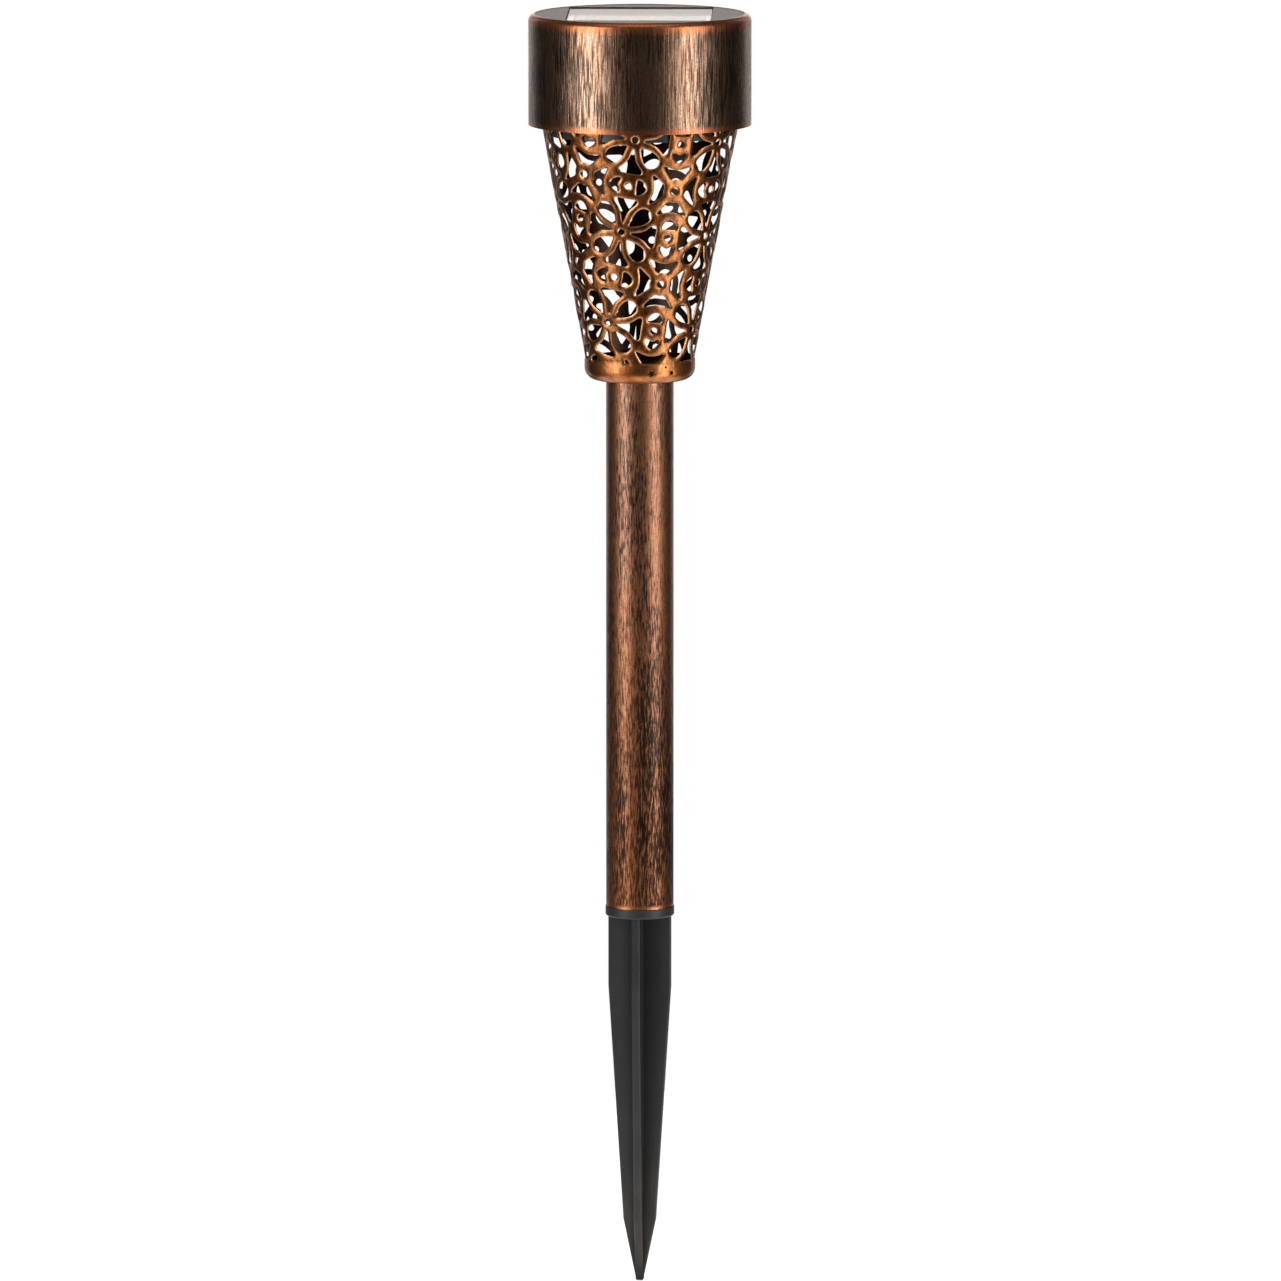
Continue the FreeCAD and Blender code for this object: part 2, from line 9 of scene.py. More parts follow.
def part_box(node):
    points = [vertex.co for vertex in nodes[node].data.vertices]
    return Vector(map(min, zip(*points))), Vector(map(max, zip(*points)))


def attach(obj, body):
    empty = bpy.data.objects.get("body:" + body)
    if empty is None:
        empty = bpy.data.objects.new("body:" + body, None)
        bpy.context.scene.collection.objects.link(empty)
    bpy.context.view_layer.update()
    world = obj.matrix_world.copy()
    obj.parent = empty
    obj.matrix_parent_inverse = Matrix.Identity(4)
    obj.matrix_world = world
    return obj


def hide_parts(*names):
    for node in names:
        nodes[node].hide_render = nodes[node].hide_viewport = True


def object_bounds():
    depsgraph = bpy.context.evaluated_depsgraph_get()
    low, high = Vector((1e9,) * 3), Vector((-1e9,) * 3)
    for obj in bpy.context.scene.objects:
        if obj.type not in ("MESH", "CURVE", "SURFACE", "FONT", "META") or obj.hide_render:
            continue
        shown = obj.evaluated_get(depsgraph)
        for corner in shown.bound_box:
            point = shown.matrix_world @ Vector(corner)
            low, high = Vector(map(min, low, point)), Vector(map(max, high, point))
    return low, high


# Solar torch stake light: the cut-out copper shade and the panel's printed lines are built here,
# the turned and moulded parts come from the frame and get their finishes.

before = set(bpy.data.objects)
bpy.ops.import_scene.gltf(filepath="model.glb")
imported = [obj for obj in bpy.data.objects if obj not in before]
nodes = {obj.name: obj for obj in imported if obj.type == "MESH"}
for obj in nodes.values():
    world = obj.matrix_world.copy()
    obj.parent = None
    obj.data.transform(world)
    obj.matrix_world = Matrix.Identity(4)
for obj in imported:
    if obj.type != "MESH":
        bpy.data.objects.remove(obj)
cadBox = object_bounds()
print("stage: frame loaded, nodes", len(nodes))


def addNode(tree, kind, **settings):
    node = tree.nodes.new(kind)
    for name, value in settings.items():
        setattr(node, name, value)
    return node


def feed(tree, socket, value):
    # a number, a colour or another node's output into one input
    if isinstance(value, bpy.types.NodeSocket):
        tree.links.new(value, socket)
    elif value is not None:
        socket.default_value = value


def doMath(tree, operation, a, b=None, c=None, clamp=False):
    node = addNode(tree, "ShaderNodeMath", operation=operation, use_clamp=clamp)
    for socket, value in zip(node.inputs, (a, b, c)):
        feed(tree, socket, value)
    return node.outputs[0]


def noise(tree, vector, scale, detail=3.0, rough=0.5, distortion=0.0):
    node = addNode(tree, "ShaderNodeTexNoise", noise_dimensions="3D")
    feed(tree, node.inputs["Vector"], vector)
    feed(tree, node.inputs["Scale"], scale)
    feed(tree, node.inputs["Detail"], detail)
    feed(tree, node.inputs["Roughness"], rough)
    feed(tree, node.inputs["Distortion"], distortion)
    return node.outputs["Fac"]


def remap(tree, value, low, high, toLow=0.0, toHigh=1.0, smooth=True):
    node = addNode(tree, "ShaderNodeMapRange", interpolation_type="SMOOTHSTEP" if smooth else "LINEAR")
    names = ("Value", "From Min", "From Max", "To Min", "To Max")
    for name, amount in zip(names, (value, low, high, toLow, toHigh)):
        feed(tree, node.inputs[name], amount)
    return node.outputs["Result"]


def mixColour(tree, factor, first, second):
    node = addNode(tree, "ShaderNodeMix", data_type="RGBA")
    feed(tree, node.inputs["Factor"], factor)
    colours = [s for s in node.inputs if s.type == "RGBA"]
    feed(tree, colours[0], first)
    feed(tree, colours[1], second)
    return [s for s in node.outputs if s.type == "RGBA"][0]


def mixValue(tree, factor, first, second):
    node = addNode(tree, "ShaderNodeMix", data_type="FLOAT")
    for socket, value in zip(node.inputs, (factor, None, first, second)):
        feed(tree, socket, value)
    return node.outputs[0]


def heightOf(tree, position):
    split = addNode(tree, "ShaderNodeSeparateXYZ")
    feed(tree, split.inputs[0], position)
    return split.outputs["Z"]


def newGroup(name, inputs, outputs):
    group = bpy.data.node_groups.new(name, "ShaderNodeTree")
    for label, kind, value in inputs:
        socket = group.interface.new_socket(label, in_out="INPUT", socket_type=kind)
        if value is not None:
            socket.default_value = value
    for label, kind in outputs:
        group.interface.new_socket(label, in_out="OUTPUT", socket_type=kind)
    return group, addNode(group, "NodeGroupInput"), addNode(group, "NodeGroupOutput")


def useGroup(tree, group, **values):
    node = addNode(tree, "ShaderNodeGroup", node_tree=group)
    for label, value in values.items():
        feed(tree, node.inputs[label], value)
    return node


# noise settings of the effects that several finishes share
effectSpec = {
    "brush": {"detail": 4.0, "rough": 0.62, "distortion": 0.25},
    "clouds": {"detail": 5.0, "rough": 0.6, "distortion": 0.4},
    "grit": {"detail": 2.0, "rough": 0.7}, "speckRange": (0.52, 0.66),
    "skin": {"detail": 2.0, "rough": 0.6},
    "flow": {"detail": 3.0, "rough": 0.55}, "flowScale": 70.0,
}


def makeBrushedGroup():
    # fine vertical brush lines: a streak mask and a height
    group, given, out = newGroup(
        "brushedLines",
        [("Position", "NodeSocketVector", None), ("Fineness", "NodeSocketFloat", 3000.0),
         ("Length", "NodeSocketFloat", 60.0), ("Cover", "NodeSocketFloat", 0.5),
         ("Softness", "NodeSocketFloat", 0.1)],
        [("Streaks", "NodeSocketFloat"), ("Lines", "NodeSocketFloat")],
    )
    combine = addNode(group, "ShaderNodeCombineXYZ")
    for axis, label in (("X", "Fineness"), ("Y", "Fineness"), ("Z", "Length")):
        feed(group, combine.inputs[axis], given.outputs[label])
    scaled = addNode(group, "ShaderNodeVectorMath", operation="MULTIPLY")
    feed(group, scaled.inputs[0], given.outputs["Position"])
    feed(group, scaled.inputs[1], combine.outputs[0])
    lines = noise(group, scaled.outputs[0], 1.0, **effectSpec["brush"])
    low = doMath(group, "SUBTRACT", given.outputs["Cover"], given.outputs["Softness"])
    high = doMath(group, "ADD", given.outputs["Cover"], given.outputs["Softness"])
    feed(group, out.inputs["Streaks"], remap(group, lines, low, high))
    feed(group, out.inputs["Lines"], lines)
    return group


def makePatinaGroup():
    # slow blotches drawn out along the height, as brown-black patina gathers
    group, given, out = newGroup(
        "patinaClouds",
        [("Position", "NodeSocketVector", None), ("Across", "NodeSocketFloat", 90.0),
         ("Along", "NodeSocketFloat", 25.0), ("Grit", "NodeSocketFloat", 1400.0)],
        [("Clouds", "NodeSocketFloat"), ("Specks", "NodeSocketFloat")],
    )
    combine = addNode(group, "ShaderNodeCombineXYZ")
    for axis, label in (("X", "Across"), ("Y", "Across"), ("Z", "Along")):
        feed(group, combine.inputs[axis], given.outputs[label])
    scaled = addNode(group, "ShaderNodeVectorMath", operation="MULTIPLY")
    feed(group, scaled.inputs[0], given.outputs["Position"])
    feed(group, scaled.inputs[1], combine.outputs[0])
    clouds = noise(group, scaled.outputs[0], 1.0, **effectSpec["clouds"])
    feed(group, out.inputs["Clouds"], clouds)
    grit = noise(group, given.outputs["Position"], given.outputs["Grit"], **effectSpec["grit"])
    feed(group, out.inputs["Specks"], remap(group, grit, *effectSpec["speckRange"]))
    return group


def makeMouldGroup():
    # the fine spark-eroded texture and slow sink marks of moulded plastic
    group, given, out = newGroup(
        "mouldedSkin",
        [("Position", "NodeSocketVector", None), ("Grain", "NodeSocketFloat", 2600.0)],
        [("Skin", "NodeSocketFloat"), ("Flow", "NodeSocketFloat")],
    )
    position = given.outputs["Position"]
    skin = noise(group, position, given.outputs["Grain"], **effectSpec["skin"])
    flow = noise(group, position, effectSpec["flowScale"], **effectSpec["flow"])
    feed(group, out.inputs["Skin"], skin)
    feed(group, out.inputs["Flow"], flow)
    return group


brushedLines = makeBrushedGroup()
patinaClouds = makePatinaGroup()
mouldedSkin = makeMouldGroup()
print("stage: shared effects")


def newMaterial(name):
    material = bpy.data.materials.new(name)
    material.use_nodes = True
    tree = material.node_tree
    tree.nodes.clear()
    shader = addNode(tree, "ShaderNodeBsdfPrincipled")
    output = addNode(tree, "ShaderNodeOutputMaterial")
    tree.links.new(shader.outputs[0], output.inputs["Surface"])
    position = addNode(tree, "ShaderNodeTexCoord").outputs["Object"]
    return material, tree, shader, position


def addBump(tree, shader, height, strength, depth):
    bump = addNode(tree, "ShaderNodeBump")
    bump.inputs["Strength"].default_value = strength
    bump.inputs["Distance"].default_value = depth
    feed(tree, bump.inputs["Height"], height)
    feed(tree, shader.inputs["Normal"], bump.outputs[0])


capFinish = {
    "copper": (0.36, 0.195, 0.115, 1), "copperTwo": (0.47, 0.31, 0.205, 1),
    "dark": (0.024, 0.012, 0.007, 1), "rust": (0.075, 0.026, 0.010, 1),
    "edge": (0.66, 0.22, 0.085, 1), "edgeDark": (0.34, 0.10, 0.04, 1),
    "fineness": 2500.0, "length": 120.0, "cover": 0.505, "softness": 0.11, "swing": 0.09,
    "across": 75.0, "along": 22.0, "grit": 1500.0, "specks": 0.4, "drift": 0.0,
    "edgeBand": 0.0024, "lowBand": 0.0012, "coat": (0.35, 0.35),
    "roughDark": 0.34, "roughBright": 0.24, "roughEdge": 0.3,
}

poleFinish = {
    "copper": (0.36, 0.138, 0.055, 1), "copperTwo": (0.43, 0.190, 0.100, 1),
    "dark": (0.020, 0.010, 0.006, 1), "rust": (0.085, 0.026, 0.009, 1),
    "edge": (0.66, 0.27, 0.12, 1), "edgeDark": (0.34, 0.10, 0.04, 1),
    "fineness": 2900.0, "length": 300.0, "cover": 0.50, "softness": 0.10, "swing": 0.09,
    "across": 130.0, "along": 16.0, "grit": 1500.0, "specks": 0.4, "drift": 0.05,
    "edgeBand": 0.0002, "lowBand": 0.0007, "coat": (0.05, 0.7),
    "roughDark": 0.50, "roughBright": 0.38, "roughEdge": 0.3,
}

# how brushed copper is put together, the same on the cap and on the pole
brushedSpec = {
    "cloudRange": (0.3, 0.72), "rustRange": (0.4, 0.62), "grainRange": (0.3, 0.7),
    "ragged": 0.004, "topFade": (1.6, 0.7), "lowFade": (1.5, 0.5),
    "coatRough": 0.3, "bump": 0.6, "bumpDepth": 0.0001,
}


def brushedCopper(name, look, low, high):
    # brushed antique copper: dark streaks over copper, and a rubbed bright band at each end
    material, tree, shader, position = newMaterial(name)
    patina = useGroup(tree, patinaClouds, Position=position, Across=look["across"], Along=look["along"],
                      Grit=look["grit"])
    clouds, specks = patina.outputs
    z = heightOf(tree, position)
    cover = remap(tree, clouds, *brushedSpec["cloudRange"], look["cover"] - look["swing"],
                  look["cover"] + look["swing"], smooth=False)
    cover = doMath(tree, "ADD", cover, remap(tree, z, low, high, look["drift"], -look["drift"]))
    brush = useGroup(tree, brushedLines, Position=position, Fineness=look["fineness"],
                     Length=look["length"], Cover=cover, Softness=look["softness"])
    streaks, lines = brush.outputs
    ragged = brushedSpec["ragged"]
    zRagged = doMath(tree, "ADD", z, doMath(tree, "MULTIPLY_ADD", lines, ragged, -ragged / 2))
    topBand = remap(tree, zRagged, *(high - look["edgeBand"] * f for f in brushedSpec["topFade"]))
    lowBand = remap(tree, zRagged, *(low + look["lowBand"] * f for f in brushedSpec["lowFade"]))
    clean = doMath(tree, "MAXIMUM", topBand, lowBand)
    warm = mixColour(tree, clouds, look["copper"], look["copperTwo"])
    rust = mixColour(tree, remap(tree, clouds, *brushedSpec["rustRange"]), look["rust"], look["dark"])
    metal = mixColour(tree, streaks, rust, warm)
    metal = mixColour(tree, doMath(tree, "MULTIPLY", specks, look["specks"]), metal, look["dark"])
    grain = remap(tree, lines, *brushedSpec["grainRange"])
    cleanGrain = mixColour(tree, grain, look["edgeDark"], look["edge"])
    feed(tree, shader.inputs["Base Color"], mixColour(tree, clean, metal, cleanGrain))
    roughMetal = remap(tree, streaks, 0, 1, look["roughDark"], look["roughBright"], smooth=False)
    feed(tree, shader.inputs["Roughness"], mixValue(tree, clean, roughMetal, look["roughEdge"]))
    shader.inputs["Metallic"].default_value = 1.0
    feed(tree, shader.inputs["Coat Weight"], remap(tree, z, low, high, *look["coat"]))
    shader.inputs["Coat Roughness"].default_value = brushedSpec["coatRough"]
    addBump(tree, shader, lines, brushedSpec["bump"], brushedSpec["bumpDepth"])
    return material


shadeFinish = {
    "gold": (0.54, 0.21, 0.064, 1), "copper": (0.38, 0.112, 0.024, 1), "dark": (0.026, 0.009, 0.003, 1),
    # rim: rubbed edge colour that is also a painted highlight; inside: painted shade for the inner layer
    "rim": (0.74, 0.46, 0.27, 1), "inside": (0.040, 0.015, 0.006, 1),
    "across": 210.0, "along": 150.0, "grit": 2300.0, "specks": 0.5,
    "fineness": 900.0, "length": 420.0, "cover": 0.46, "softness": 0.16, "wear": 0.6,
    "goldRange": (0.35, 0.68), "blotchRange": (0.50, 0.30), "blotch": 0.85, "rubAndHighlightShare": 0.6,
    "bandTop": 0.1583, "bandFade": (0.0008, 0.0004), "bandGrime": 0.15,
    "roughRange": (0.3, 0.7), "rough": (0.42, 0.29), "coat": 0.3, "coatRough": 0.25,
    "bump": 0.5, "bumpDepth": 0.00012,
}


def rubbedCopperPaintedLight(name, look):
    # orange-gold copper with patina in the low places, painted shade that makes the inside black, and
    # opening edges that are partly rubbed and partly a painted highlight
    material, tree, shader, position = newMaterial(name)
    paintedInsideShade = addNode(tree, "ShaderNodeAttribute", attribute_name="paintedInsideShade").outputs["Fac"]
    rim = addNode(tree, "ShaderNodeAttribute", attribute_name="rim").outputs["Fac"]
    patina = useGroup(tree, patinaClouds, Position=position, Across=look["across"], Along=look["along"],
                      Grit=look["grit"])
    clouds, specks = patina.outputs
    brush = useGroup(tree, brushedLines, Position=position, Fineness=look["fineness"],
                     Length=look["length"], Cover=look["cover"], Softness=look["softness"])
    streaks, lines = brush.outputs
    under, over = look["bandFade"]
    grubby = remap(tree, heightOf(tree, position), look["bandTop"] - under, look["bandTop"] + over,
                   look["bandGrime"], 1.0)
    tone = mixColour(tree, remap(tree, clouds, *look["goldRange"]), look["copper"], look["gold"])
    blotch = remap(tree, clouds, *look["blotchRange"], 0.0, look["blotch"])
    tone = mixColour(tree, doMath(tree, "MULTIPLY", grubby, blotch), tone, look["dark"])
    worn = remap(tree, streaks, 0.0, 1.0, look["wear"], 0.0, smooth=False)
    worn = doMath(tree, "MULTIPLY", grubby, worn)
    tone = mixColour(tree, worn, tone, look["dark"])
    tone = mixColour(tree, doMath(tree, "MULTIPLY", specks, look["specks"]), tone, look["dark"])
    # rubbed edges with a painted highlight: the opening edges are coloured pale
    tone = mixColour(tree, doMath(tree, "MULTIPLY", rim, look["rubAndHighlightShare"]), tone, look["rim"])
    # painted shade: the inner layer of the sheet is coloured nearly black
    feed(tree, shader.inputs["Base Color"], mixColour(tree, paintedInsideShade, tone, look["inside"]))
    feed(tree, shader.inputs["Roughness"], remap(tree, clouds, *look["roughRange"], *look["rough"]))
    shader.inputs["Metallic"].default_value = 1.0
    shader.inputs["Coat Weight"].default_value = look["coat"]
    shader.inputs["Coat Roughness"].default_value = look["coatRough"]
    addBump(tree, shader, doMath(tree, "ADD", clouds, lines), look["bump"], look["bumpDepth"])
    return material


plasticSpec = {
    "lift": 1.6, "floor": 0.002, "flowRange": (0.35, 0.7), "skinRange": (0.3, 0.7),
    "bump": 0.25, "bumpDepth": 0.00005,
}


def mouldedPlastic(name, colour, roughLow, roughHigh, grain=2600.0, soilAndShade=None):
    material, tree, shader, position = newMaterial(name)
    skin = useGroup(tree, mouldedSkin, Position=position, Grain=grain)
    lighter = tuple(min(1.0, c * plasticSpec["lift"] + plasticSpec["floor"]) for c in colour) + (1,)
    flow = remap(tree, skin.outputs["Flow"], *plasticSpec["flowRange"])
    tone = mixColour(tree, flow, colour + (1,), lighter)
    rough = remap(tree, skin.outputs["Skin"], *plasticSpec["skinRange"], roughLow, roughHigh)
    if soilAndShade:
        tone, rough = soilAndRootShade(tree, position, tone, rough, soilAndShade)
    feed(tree, shader.inputs["Base Color"], tone)
    feed(tree, shader.inputs["Roughness"], rough)
    addBump(tree, shader, skin.outputs["Skin"], plasticSpec["bump"], plasticSpec["bumpDepth"])
    return material


def soilAndRootShade(tree, position, tone, rough, soilAndShade):
    # dried soil towards the tip, and painted shade that darkens the roots between the blades, which are
    # also made rougher
    patina = useGroup(tree, patinaClouds, Position=position, Across=soilAndShade["across"], Along=soilAndShade["along"],
                      Grit=soilAndShade["grit"])
    split = addNode(tree, "ShaderNodeSeparateXYZ")
    feed(tree, split.inputs[0], position)
    x, y, z = split.outputs
    near = remap(tree, z, soilAndShade["from"], soilAndShade["to"], 0.0, soilAndShade["amount"])
    soil = doMath(tree, "MULTIPLY", near, remap(tree, patina.outputs["Clouds"], *soilAndShade["patches"]))
    tone = mixColour(tree, soil, tone, soilAndShade["colour"])
    (tipZ, tipReach), (topZ, topReach) = soilAndShade["taper"]
    reach = remap(tree, z, tipZ, topZ, tipReach, topReach, smooth=False)
    squares = doMath(tree, "ADD", doMath(tree, "MULTIPLY", x, x), doMath(tree, "MULTIPLY", y, y))
    outward = doMath(tree, "DIVIDE", doMath(tree, "SQRT", squares), reach)
    # painted shade: the colour goes darker towards the roots between the blades
    paintedRootShade = remap(tree, outward, *soilAndShade["rootRange"], 1.0, 0.0)
    tone = mixColour(tree, doMath(tree, "MULTIPLY", paintedRootShade, soilAndShade["rootShade"]), tone, (0, 0, 0, 1))
    return tone, mixValue(tree, paintedRootShade, rough, soilAndShade["rootRough"])


steelSpec = {
    "fineness": 1500.0, "cover": 0.5, "softness": 0.2, "dull": 0.7,
    "lineRange": (0.3, 0.7), "roughSwing": 0.12, "bump": 0.15, "bumpDepth": 0.00004,
}


def platedSteel(name, colour, rough):
    spec = steelSpec
    material, tree, shader, position = newMaterial(name)
    brush = useGroup(tree, brushedLines, Position=position, Fineness=spec["fineness"],
                     Length=spec["fineness"], Cover=spec["cover"], Softness=spec["softness"])
    streaks, lines = brush.outputs
    dull = tuple(c * spec["dull"] for c in colour) + (1,)
    feed(tree, shader.inputs["Base Color"], mixColour(tree, streaks, dull, colour + (1,)))
    roughLines = remap(tree, lines, *spec["lineRange"], rough + spec["roughSwing"], rough)
    feed(tree, shader.inputs["Roughness"], roughLines)
    shader.inputs["Metallic"].default_value = 1.0
    addBump(tree, shader, lines, spec["bump"], spec["bumpDepth"])
    return material


clearSpec = {
    "grain": 500.0, "shade": 0.93, "flowRange": (0.3, 0.7), "roughSwing": 0.05,
    "ior": 1.5, "coatRough": 0.05,
}


def clearPart(name, colour, rough, alpha):
    # thin clear plastic or resin: see-through by alpha, with a full gloss
    spec = clearSpec
    material, tree, shader, position = newMaterial(name)
    flow = useGroup(tree, mouldedSkin, Position=position, Grain=spec["grain"]).outputs["Flow"]
    shade = tuple(c * spec["shade"] for c in colour) + (1,)
    feed(tree, shader.inputs["Base Color"], mixColour(tree, flow, shade, colour + (1,)))
    roughFlow = remap(tree, flow, *spec["flowRange"], rough, rough + spec["roughSwing"])
    feed(tree, shader.inputs["Roughness"], roughFlow)
    shader.inputs["Alpha"].default_value = alpha
    shader.inputs["IOR"].default_value = spec["ior"]
    shader.inputs["Coat Weight"].default_value = 1.0
    shader.inputs["Coat Roughness"].default_value = spec["coatRough"]
    return material


siliconSpec = {
    "grains": 420.0, "deep": (0.012, 0.02, 0.075, 1), "blue": (0.03, 0.055, 0.15, 1),
    "grainReach": 0.6, "rough": (0.22, 0.4), "coat": 0.6,
}


def siliconCell(name):
    spec = siliconSpec
    material, tree, shader, position = newMaterial(name)
    grains = addNode(tree, "ShaderNodeTexVoronoi", feature="F1")
    feed(tree, grains.inputs["Vector"], position)
    grains.inputs["Scale"].default_value = spec["grains"]
    tone = mixColour(tree, grains.outputs["Color"], spec["deep"], spec["blue"])
    feed(tree, shader.inputs["Base Color"], tone)
    rough = remap(tree, grains.outputs["Distance"], 0.0, spec["grainReach"], *spec["rough"])
    feed(tree, shader.inputs["Roughness"], rough)
    shader.inputs["Coat Weight"].default_value = spec["coat"]
    return material


poleLow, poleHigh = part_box("pole_tube")
capLow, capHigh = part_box("cap_shell")
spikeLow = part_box("ground_spike")[0]

# soil towards the tip, and the painted shade in the roots between the blades
soil = {
    "from": -0.055, "to": spikeLow.z + 0.01, "amount": 0.6, "colour": (0.060, 0.040, 0.027, 1),
    "across": 260.0, "along": 60.0, "grit": 900.0, "patches": (0.42, 0.68),
    "taper": ((-0.0872, 0.0046), (-0.0202, 0.00887)),    # height and reach of the blades, low and high
    "rootRange": (0.15, 0.85), "rootShade": 0.6, "rootRough": 0.85,
}
finishes = {
    "spikePlastic": mouldedPlastic("spikePlastic", (0.008, 0.0076, 0.0073), 0.42, 0.54, soilAndShade=soil),
    "capCopper": brushedCopper("capCopper", capFinish, capLow.z, capHigh.z),
    "poleCopper": brushedCopper("poleCopper", poleFinish, poleLow.z, poleHigh.z),
    "shadeCopper": rubbedCopperPaintedLight("shadeCopper", shadeFinish),
    "cellSilicon": siliconCell("cellSilicon"),
}
# colour, roughness from and to, grain if not the usual
plastics = {
    "housingPlastic": ((0.022, 0.022, 0.024), 0.34, 0.46, 3200.0),
    "knobPlastic": ((0.04, 0.04, 0.042), 0.4, 0.5),
    "foamTape": ((0.6, 0.6, 0.57), 0.7, 0.9, 5000.0),
    "sealRubber": ((0.012, 0.012, 0.012), 0.6, 0.75),
    "boardGreen": ((0.012, 0.09, 0.035), 0.25, 0.35, 1200.0),
    "chipBlack": ((0.012, 0.012, 0.012), 0.3, 0.4),
    "chokeGreen": ((0.05, 0.2, 0.09), 0.2, 0.3),
    "batterySleeve": ((0.02, 0.12, 0.06), 0.18, 0.28),
    "leadRed": ((0.35, 0.01, 0.01), 0.35, 0.45),
    "leadBlack": ((0.012, 0.012, 0.012), 0.35, 0.45),
}
# colour, roughness
steels = {
    "zincSteel": ((0.66, 0.66, 0.63), 0.28),
    "nickelSteel": ((0.72, 0.68, 0.6), 0.2),
    "tinnedSteel": ((0.55, 0.55, 0.53), 0.3),
}
# colour, roughness, alpha
clearParts = {
    "panelCover": ((0.84, 0.81, 0.77), 0.05, 0.3),
    "ledResin": ((0.95, 0.92, 0.8), 0.06, 0.45),
    "lensClear": ((0.95, 0.96, 0.97), 0.04, 0.3),
}
for maker, looks in ((mouldedPlastic, plastics), (platedSteel, steels), (clearPart, clearParts)):
    for name, look in looks.items():
        finishes[name] = maker(name, *look)

finishNodes = {
    "spikePlastic": ["ground_spike"], "poleCopper": ["pole_tube"], "capCopper": ["cap_shell"],
    "housingPlastic": ["pole_plug", "panel_housing", "lower_housing", "battery_door"],
    "knobPlastic": ["switch_knob"], "foamTape": ["panel_adhesive"], "sealRubber": ["housing_seal"],
    "boardGreen": ["solar_board", "circuit_board"], "cellSilicon": ["solar_cells"],
    "panelCover": ["solar_cover"], "chipBlack": ["driver_chip"], "chokeGreen": ["choke_coil"],
    "ledResin": ["led"], "lensClear": ["led_lens"], "tinnedSteel": ["switch_body"],
    "zincSteel": ["plug_washer", "plug_screw", "housing_screws", "board_screws"],
    "nickelSteel": ["battery_plate", "battery_spring"], "batterySleeve": ["battery"],
    "leadRed": ["panel_lead_red", "battery_lead_red"],
    "leadBlack": ["panel_lead_black", "battery_lead_black"],
}
for name, nodeNames in finishNodes.items():
    for nodeName in nodeNames:
        mesh = nodes[nodeName].data
        mesh.materials.clear()
        mesh.materials.append(finishes[name])
print("stage: finishes on", sum(len(names) for names in finishNodes.values()), "frame nodes")


# cut-out shade, laid out flat in millimetres and rolled afterwards
mm = 0.001
shadeLow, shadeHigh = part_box("filigree_shade")
shadeSpec = {
    "slope": 0.18615,          # radius gained for each unit of height
    "apex": 76.147,            # height where the cone would close, mm
    "bandTop": 158.3, "bandR": 15.55, "bandBlend": 0.30, "dishRound": 3.5,
    "base": shadeLow.z / mm, "top": shadeHigh.z / mm, "centreHole": 1.6, "sheet": 0.45,
    # pattern: pitch of the lattice, its turn, and where its first flower stands on the flat sheet
    "pitch": 27.1, "turn": math.radians(8.6), "flower": (-5.4, 121.9), "columns": (-4, 5), "rows": (-5, 3),
    "openScale": 0.96, "dot": 1.0, "crossDot": 1.05, "smallest": 0.5,
    "lowRim": 0.15, "topRim": 1.5, "seamStrip": 1.1,
    # pressed relief: how far the metal falls towards an opening, and over what width; then how wide the
    # rubbed edge with its painted highlight is, and its share on the inner layer
    "edgeDrop": 0.30, "bandDrop": 0.06, "crown": 0.80, "coneFrom": 0.1, "rubAndHighlightWidth": 0.17, "innerRubAndHighlight": 0.5,
    "wave": 0.10, "waveRate": 0.21, "waveShift": 2.0, "waveTurns": 9, "waveFade": 8,
}
# spacing of the points that the sheet is meshed from
meshSpec = {
    "outlineStep": 0.43, "markStep": 0.2, "seamSteps": 150, "rimSteps": 260,
    "rings": (0.2, 0.46), "ringClear": 0.86, "ringCell": 0.24,
    "grid": 0.60, "rowShare": 0.866, "gridClear": 0.64, "gridCell": 0.6,
    "rimClear": 0.35, "seamClear": 0.4, "leastPoints": 6,
}
coneAngle = math.atan(shadeSpec["slope"])
sinCone, cosCone = math.sin(coneAngle), math.cos(coneAngle)
rhoBand = (shadeSpec["bandTop"] - shadeSpec["apex"]) / cosCone
rhoTop = (shadeSpec["top"] - shadeSpec["apex"]) / cosCone
halfSector = math.pi * sinCone


def smoothLoop(points, rounds=2):
    # corner cutting that turns a few points into a smooth closed outline
    loop = [Vector(p) for p in points]
    for _ in range(rounds):
        finer = []
        for a, b in zip(loop, loop[1:] + loop[:1]):
            finer += [a.lerp(b, 1 / 4), a.lerp(b, 3 / 4)]
        loop = finer
    return loop


def evenLoop(loop, step):
    # the same closed outline with evenly spaced points
    lengths = [(b - a).length for a, b in zip(loop, loop[1:] + loop[:1])]
    total = sum(lengths)
    count = max(8, round(total / step))
    result, index, passed = [], 0, 0.0
    for k in range(count):
        want = total * k / count
        while passed + lengths[index] < want:
            passed += lengths[index]
            index += 1
        a, b = loop[index], loop[(index + 1) % len(loop)]
        result.append(a.lerp(b, (want - passed) / max(lengths[index], 1e-9)))
    return result


def mirrorAcross(points):
    # closes an outline given on its upper side, from tip to tip
    return points + [(u, -v) for u, v in reversed(points) if abs(v) > 1e-6]


